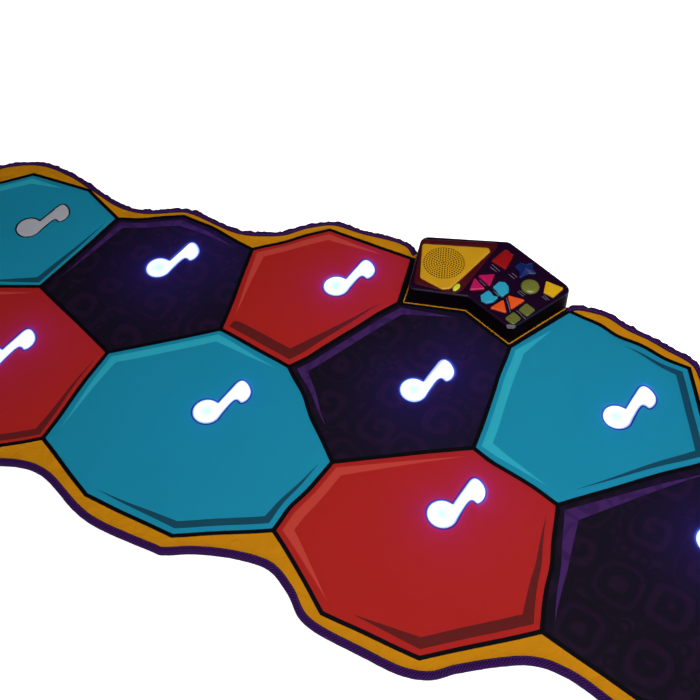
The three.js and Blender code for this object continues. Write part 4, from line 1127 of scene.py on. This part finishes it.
ROUND_BUTTON = {"name": "olive_round", "colour": (108, 112, 46)}
ROUND_BUTTON_CENTRE = np.array([69.3, 221.6])
ROUND_BUTTON_RADIUS = 13
ROUND_BUTTON_STEPS = 64
LENS_STEPS = 40
SPEAKER_HOLE_STEPS = 48


def circle(centre, radius, count):
    """Points on a circle, anticlockwise."""
    return np.array(centre) + ring_of(count, radius, 0.5)


def console_ring(distance):
    """The console's plan outline, grown by the distance, its corners rounded to suit."""
    radii = np.maximum(SHELL_CORNER_RADII + distance, LEAST_RADIUS)
    return rounded(grown(CONSOLE, distance), radii, CORNER_STEPS)


def shell_ring(inset, height):
    """The shell's outside at a height. Towards the top its front corner is cut by a sloping facet."""
    ring = console_ring(-inset)
    corners = grown(CONSOLE, -inset)
    here = corners[FRONT_CORNER]
    left, right = (side / np.linalg.norm(side)
                   for side in (corners[FRONT_CORNER - 1] - here, corners[FRONT_CORNER + 1] - here))
    middle = (left + right) / np.linalg.norm(left + right)
    rise = max(height - SHELL_TOP + FACET_HEIGHT, 0) / FACET_HEIGHT
    depth = FACET_FOOT + (FACET_TOP - FACET_FOOT) * rise - (here - CONSOLE[FRONT_CORNER]) @ middle
    start, end = (here + side * depth / (side @ middle) for side in (left, right))
    first = FRONT_CORNER * (CORNER_STEPS + 1)
    ring[first:first + CORNER_STEPS + 1] = np.linspace(start, end, CORNER_STEPS + 1)
    return ring, height


def anticlockwise(points):
    """The same closed outline, running anticlockwise."""
    points = np.asarray(points, float)
    return points if facing(points) > 0 else points[::-1]


def corner_at(shape, point, height):
    """A new corner of a shape over a plan point, from millimetres."""
    return shape.verts.new((*((point + PLAN_SHIFT) * MM), height * MM))


def raise_wall(shape, rings, finish=0):
    """Upright or sloping skin through rings of equal length, each its outline and its height."""
    joined(shape, [[corner_at(shape, point, height) for point in outline] for outline, height in rings],
           finish)


def lay_plate(shape, outline, holes, height):
    """A flat face at one height that fills an outline less its holes."""
    points, faces = filled(outline, holes)
    corners = {k: corner_at(shape, points[k], height) for k in np.unique(faces)}
    for face in faces:
        shape.faces.new([corners[k] for k in face])


def closed(shape):
    """Joins the faces of a shape into one skin that faces out."""
    bmesh.ops.remove_doubles(shape, verts=shape.verts, dist=ONE_POINT)
    bmesh.ops.recalc_face_normals(shape, faces=shape.faces)
    return shape


def moulding_group():
    """Moulded plastic: a fine spark-eroded grain, faint rubbing and a little dust in the colour."""
    group, given, result = effect(
        "moulded_plastic",
        [("Colour", "NodeSocketColor", (0.5, 0.5, 0.5, 1)), ("Grain", "NodeSocketFloat", 900.0),
         ("Gloss", "NodeSocketFloat", 0.35)],
        [("Colour", "NodeSocketColor"), ("Roughness", "NodeSocketFloat"), ("Height", "NodeSocketFloat")])
    place = place_on(group)
    grain = clouds(group, place, scale=given.outputs["Grain"], detail=3)
    haze = clouds(group, place, scale=45, detail=6)
    rubbing = ranged(group, haze, (0.35, 0.75), (-0.04, 0.07))
    dust = ranged(group, haze, (0, 1), (0.93, 1.07))
    feed(group, result, {
        "Colour": blended(group, 1.0, given.outputs["Colour"], dust, "MULTIPLY"),
        "Roughness": maths(group, "ADD", given.outputs["Gloss"], rubbing),
        "Height": grain})
    return group


moulded_plastic = moulding_group()


def plastic_finish(name, colour, gloss, specular, grain=900):
    """Moulded plastic in one colour."""
    material, tree, shader = finish_named(name)
    surface = in_group(tree, moulded_plastic, {"Colour": linear(colour), "Grain": grain, "Gloss": gloss})
    feed(tree, shader, {
        "Base Color": surface["Colour"], "Roughness": surface["Roughness"],
        "Specular IOR Level": specular,
        "Normal": bumped(tree, surface["Height"], strength=0.12, depth=0.0001)})
    return material


button_outlines = {
    button["name"]: rounded(anticlockwise(button["outline"]), button.get("radius", BUTTON_RADIUS),
                            BUTTON_CORNER_STEPS)
    for button in BUTTONS
}
button_outlines[ROUND_BUTTON["name"]] = circle(ROUND_BUTTON_CENTRE, ROUND_BUTTON_RADIUS,
                                               ROUND_BUTTON_STEPS)
bezel_outline = rounded(anticlockwise(BEZEL), BEZEL_RADIUS, BEZEL_CORNER_STEPS)
lens_round = circle((0, 0), 1, LENS_STEPS) * LENS_HALF
lens_outline = lens_round + LENS_CENTRE
speaker_hole = circle(SPEAKER_CENTRE, SPEAKER_RADIUS, SPEAKER_HOLE_STEPS)

shape = bmesh.new()
edge = [shell_ring(inset, height) for inset, height in SHELL_EDGE]
raise_wall(shape, [shell_ring(0, SHELL_BOTTOM), shell_ring(SHELL_DRAFT, SHELL_TOP - FACET_HEIGHT), *edge])
inner = console_ring(-SHELL_WALL - SHELL_DRAFT)
mouths = [grown(outline, FIT_GAP) for outline in (*button_outlines.values(), bezel_outline)]
lay_plate(shape, edge[-1][0], [grown(mouth, LIP[0][0]) for mouth in mouths], SHELL_TOP)
for mouth in mouths:
    depth = RECESS_FLOOR if mouth is mouths[-1] else SHELL_UNDER
    raise_wall(shape, [*[(grown(mouth, reach), SHELL_TOP - drop) for reach, drop in LIP], (mouth, depth)])
small_mouths = [speaker_hole, grown(lens_outline, FIT_GAP)]
lay_plate(shape, mouths[-1], small_mouths, RECESS_FLOOR)
for mouth in small_mouths:
    raise_wall(shape, [(mouth, RECESS_FLOOR), (mouth, SHELL_UNDER)])
lay_plate(shape, inner, [*mouths[:-1], *small_mouths], SHELL_UNDER)
raise_wall(shape, [(inner, SHELL_UNDER), (inner, SHELL_BOTTOM)])
lay_plate(shape, shell_ring(0, SHELL_BOTTOM)[0], [inner], SHELL_BOTTOM)
closed(shape)
front = Vector((*(CONSOLE[FRONT_CORNER] - CONSOLE.mean(0)), 0)).normalized()
# each face gets its finish, and with it its painted shade or painted glint, by which way it faces
for face in shape.faces:
    if FACET_TILT[0] < face.normal.z < FACET_TILT[1] and face.normal.dot(front) > FACET_AHEAD:
        face.material_index = FACET_FACE
    elif face.normal.z < EDGE_TILT:
        face.material_index = WALL_FACE
    else:
        face.material_index = EDGE_FACE if face.normal.z < TOP_TILT else TOP_FACE
shell = mesh_piece("console_upper_shell", shape, [plastic_finish(*finish) for finish in SHELL_FINISHES],
                   SHELL_CREASE)
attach(shell, "mat")
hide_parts("console_top")

# Speaker bezel and grille: a maroon frame sunk into the shell, and inside it a yellow panel with a
# cushioned edge, moulded with rings of small sound holes in front of the loudspeaker.
BEZEL_TOP = 36.4
BEZEL_EDGE = [(0, 0.9), (0.12, 0.45), (0.4, 0.15), (0.9, 0)]
BEZEL_LIP = [(0.4, 0), (0.15, 0.1), (0, 0.4)]
GRILLE = np.array([(-67.5, 147.5), (-29, 147), (-20.5, 155), (-11, 247.5), (-16.5, 252.5), (-101, 204.5)])
GRILLE_RADII = [8, 7, 7, 4, 4, 5]
GRILLE_TOP = 37.4
GRILLE_EDGE = [(0, 1.8), (0.15, 1.2), (0.7, 0.5), (1.6, 0.12), (3.0, 0)]
HOLE_RINGS = 8
HOLE_PITCH = 3.6
HOLE_RADIUS = 1.2
HOLE_STEPS = 8
HOLES_PER_RING = 6
GROOVE = 0.7
SEAT = RECESS_FLOOR + FIT_GAP
MOULDING_CREASE = 40


def moulded_block(name, outline, holes, heights, edge, finishes, lip=((0, 0),)):
    """A flat moulding with a softened top edge and holes right through. The last finish lines them."""
    shape = bmesh.new()
    bottom, top = heights
    raise_wall(shape, [(outline, bottom), *[(grown(outline, -inset), top - drop) for inset, drop in edge]])
    lay_plate(shape, grown(outline, -edge[-1][0]), [grown(hole, lip[0][0]) for hole in holes], top)
    for hole in holes:
        raise_wall(shape, [*[(grown(hole, reach), top - drop) for reach, drop in lip], (hole, bottom)],
                   len(finishes) - 1)
    lay_plate(shape, outline, holes, bottom)
    return mesh_piece(name, closed(shape), finishes, MOULDING_CREASE)


grille_outline = rounded(GRILLE, GRILLE_RADII, BEZEL_CORNER_STEPS)
bezel = moulded_block("speaker_bezel_frame", bezel_outline,
                      [grown(grille_outline, GROOVE), grown(lens_outline, FIT_GAP)], (SEAT, BEZEL_TOP),
                      BEZEL_EDGE,
                      [plastic_finish("maroon_plastic", (68, 7, 17), gloss=0.35, specular=0.2)],
                      BEZEL_LIP)
hole_centres = [SPEAKER_CENTRE]
for ring in range(1, HOLE_RINGS + 1):
    hole_centres += [*circle(SPEAKER_CENTRE, ring * HOLE_PITCH, ring * HOLES_PER_RING)]
grille = moulded_block("speaker_grille_panel", grille_outline,
                       [circle(centre, HOLE_RADIUS, HOLE_STEPS) for centre in hole_centres],
                       (SEAT, GRILLE_TOP), GRILLE_EDGE,
                       [plastic_finish("yellow_plastic", (198, 146, 18), gloss=0.38, specular=0.4, grain=700),
                        plastic_finish("hole_shade", (16, 10, 6), gloss=0.6, specular=0.2, grain=700)])
for piece, node, slot in ((bezel, "speaker_bezel", "bezel_plastic"),
                          (grille, "speaker_grille", "grille_plastic")):
    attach(piece, "mat")
    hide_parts(node)

# Indicator lens: a lime oval of clear-tinted acrylic that stands in the bezel's right corner,
# domed so that its lamp shows from the side.
LENS_BOTTOM = 33
LENS_CREASE = 60
# The dome's size at each height, as a share of the lens
LENS_DOME = [(1.0, 36.2), (0.97, 36.7), (0.88, 37.1), (0.7, 37.4), (0.45, 37.6), (0.2, 37.68)]
LENS_COLOURS = [(176, 188, 24), (204, 212, 78)]
LENS_LIGHT = (214, 232, 20)


def lens_finish():
    """Tinted acrylic, a little brighter in clouds, with a weak light in it."""
    material, tree, shader = finish_named("lime_acrylic")
    cloud = clouds(tree, place_on(tree), scale=120, detail=2)
    feed(tree, shader, {
        "Base Color": blended(tree, cloud, *[linear(colour) for colour in LENS_COLOURS]),
        "Roughness": 0.18, "Coat Weight": 0.4,
        "Emission Color": linear(LENS_LIGHT), "Emission Strength": 0.08})
    return material


shape = bmesh.new()
dome = [(lens_round * scale + LENS_CENTRE, height) for scale, height in LENS_DOME]
raise_wall(shape, [(lens_outline, LENS_BOTTOM), *dome])
lay_plate(shape, dome[-1][0], [], dome[-1][1])
lay_plate(shape, lens_outline, [], LENS_BOTTOM)
indicator = mesh_piece("indicator_lens_dome", closed(shape), [lens_finish()], LENS_CREASE)
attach(indicator, "mat")
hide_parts("indicator_lens")

# Push buttons: twelve solid-coloured caps, each held under the shell by a flange on its skirt. The
# kite and the star are cut in facets that rise to a point, and the round one is a glossy dome.
BUTTON_TOP = 38.2
FLANGE_REACH = 0.9
FLANGE_BOTTOM = 31.35
FLANGE_TOP = 32.7
BUTTON_EDGE = [(0, 1.3), (0.1, 0.75), (0.35, 0.3), (0.8, 0.05), (1.3, 0)]
# The round cap's size at each height above the others' tops, as a share of the cap
ROUND_DOME = [
    (1.0, -1.2), (0.985, -0.55), (0.95, 0), (0.88, 0.6), (0.78, 1.1), (0.64, 1.55), (0.45, 1.9), (0.22, 2.1),
]
CAP_GRAIN = 600
CAP_SHINE = 0.5
CAP_GLOSS = 0.3
ROUND_GLOSS = 0.16
FACET_CREASE = 8
CAP_CREASE = 35

for button in (*BUTTONS, ROUND_BUTTON):
    name, outline = button["name"], button_outlines[button["name"]]
    middle = outline.mean(0)
    is_round = button is ROUND_BUTTON
    finish = plastic_finish(f"cap_{name}", button["colour"], ROUND_GLOSS if is_round else CAP_GLOSS,
                            CAP_SHINE, CAP_GRAIN)
    shape = bmesh.new()
    flange = grown(outline, FLANGE_REACH)
    crown = [(grown(outline, -inset), BUTTON_TOP - drop) for inset, drop in BUTTON_EDGE]
    if is_round:
        crown = [((outline - middle) * scale + middle, BUTTON_TOP + rise) for scale, rise in ROUND_DOME]
    raise_wall(shape, [(flange, FLANGE_BOTTOM), (flange, FLANGE_TOP), (outline, FLANGE_TOP), *crown])
    lay_plate(shape, flange, [], FLANGE_BOTTOM)
    top, height = crown[-1]
    if "peak" in button:
        peak = corner_at(shape, middle, height + button["peak"])
        foot = [corner_at(shape, point, height) for point in top]
        for k in range(len(foot)):
            shape.faces.new([foot[k], foot[(k + 1) % len(foot)], peak])
    else:
        lay_plate(shape, top, [], height)
    cap = mesh_piece(f"cap_{name}", closed(shape), [finish],
                     FACET_CREASE if "peak" in button else CAP_CREASE)
    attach(cap, f"{name}_key")
    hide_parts(f"button_{name}")

# Label bars: twelve short pale bars that mark the buttons, pad-printed on the shell beside them.
# They are plain, with rounded ends and a thin edge of ink.
LABEL_BARS = np.array([
    ((2.9, 227.5), (19.2, 222.8)), ((4.1, 221.9), (16.1, 219.3)), ((35.1, 229.7), (45.5, 226.8)),
    ((32.8, 225.1), (44.1, 222.2)), ((4.4, 191.9), (17.5, 188)), ((30.8, 186), (42.8, 182)),
    ((59.4, 203.9), (70.3, 201.2)), ((60.1, 207.3), (71.5, 204.9)), ((91.7, 216.1), (100.2, 213.8)),
    ((92.4, 219.5), (103.1, 215.8)), ((52, 185.8), (70.1, 166.3)), ((75.2, 173.6), (92.9, 167.8)),
])
LABEL_HALF_WIDTH = 0.38
LABEL_RADIUS = 0.5
LABEL_CORNER_STEPS = 4
LABEL_EDGE = 0.06
LABEL_THICKNESS = 0.08

shape = bmesh.new()
for start, end in LABEL_BARS:
    along = (end - start) / np.linalg.norm(end - start)
    across = np.array([-along[1], along[0]]) * LABEL_HALF_WIDTH
    outline = rounded(anticlockwise([start - across, end - across, end + across, start + across]),
                      LABEL_RADIUS, LABEL_CORNER_STEPS)
    top = grown(outline, -LABEL_EDGE)
    raise_wall(shape, [(outline, SHELL_TOP), (top, SHELL_TOP + LABEL_THICKNESS)])
    lay_plate(shape, top, [], SHELL_TOP + LABEL_THICKNESS)
    lay_plate(shape, outline, [], SHELL_TOP)
labels = mesh_piece("label_bars", closed(shape),
                    [plastic_finish("pale_print", (124, 112, 132), gloss=0.5, specular=0.2)],
                    MOULDING_CREASE)
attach(labels, "mat")

# Parts that stay as the CAD makes them: the console's base and battery bay, moulded plastic held by
# plated screws, the film and the lamp strip in the mat, and everything inside the console. Each gets
# the finish of its real material.
METAL_BRIGHTENING = 20
METAL_RUBBING = (-0.08, 0.12)
FILM_ROUGHNESS = 0.5


def metal_finish(name, colour, roughness):
    """Plated or drawn metal with fine rubbing marks."""
    material, tree, shader = finish_named(name)
    marks = clouds(tree, place_on(tree), scale=400, detail=4)
    bright = [min(255, part + METAL_BRIGHTENING) for part in colour]
    feed(tree, shader, {
        "Base Color": blended(tree, marks, linear(colour), linear(bright)),
        "Roughness": ranged(tree, marks, (0, 1), [roughness + rubbed for rubbed in METAL_RUBBING]),
        "Metallic": 1})
    return material


def striped_finish(name, ground, stripe, width, gap):
    """Thin film or cable with straight printed tracks."""
    material, tree, shader = finish_named(name)
    turns = maths(tree, "DIVIDE", parts_of(tree, place_on(tree))["X"], width + gap)
    track = maths(tree, "LESS_THAN", maths(tree, "FRACT", turns), width / (width + gap))
    feed(tree, shader, {"Base Color": blended(tree, track, linear(ground), linear(stripe)),
                        "Roughness": FILM_ROUGHNESS})
    return material


screw_metal = metal_finish("zinc_plate", (176, 176, 182), roughness=0.35)
nickel = metal_finish("nickel_plate", (190, 188, 180), roughness=0.25)
base_plastic = plastic_finish("plum_plastic_base", (24, 8, 32), gloss=0.42, specular=0.3, grain=700)
cell_sleeve = plastic_finish("cell_sleeve", (46, 90, 140), gloss=0.3, specular=0.5, grain=400)
carried = {
    "console_base": base_plastic, "battery_door": base_plastic, "door_screw": screw_metal,
    "speaker_basket": metal_finish("pressed_steel", (150, 150, 154), roughness=0.4),
    "speaker_cone": plastic_finish("paper_cone", (30, 30, 32), gloss=0.85, specular=0.1, grain=1500),
    "sensor_film": striped_finish("sensor_film", (178, 178, 184), (70, 70, 76), width=0.002, gap=0.01),
    "light_harness": striped_finish("lamp_strip", (216, 200, 160), (196, 130, 70), width=0.0008, gap=0.0012),
    "ribbon_cable": striped_finish("flat_cable", (180, 180, 180), (150, 150, 150), width=0.0006, gap=0.0006),
    "circuit_board": striped_finish("circuit_board", (30, 88, 50), (44, 112, 66), width=0.0005, gap=0.0015),
    "key_mat": plastic_finish("silicone", (154, 154, 150), gloss=0.7, specular=0.3, grain=500),
    "contact_plate_front": nickel, "contact_plate_back": nickel,
    **{f"battery_{index}": cell_sleeve for index in (1, 2, 3)},
    **{f"housing_screw_{index}": screw_metal for index in (1, 2, 3, 4)},
}
for name, finish in carried.items():
    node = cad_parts[name]
    node.data.materials.clear()
    node.data.materials.append(finish)
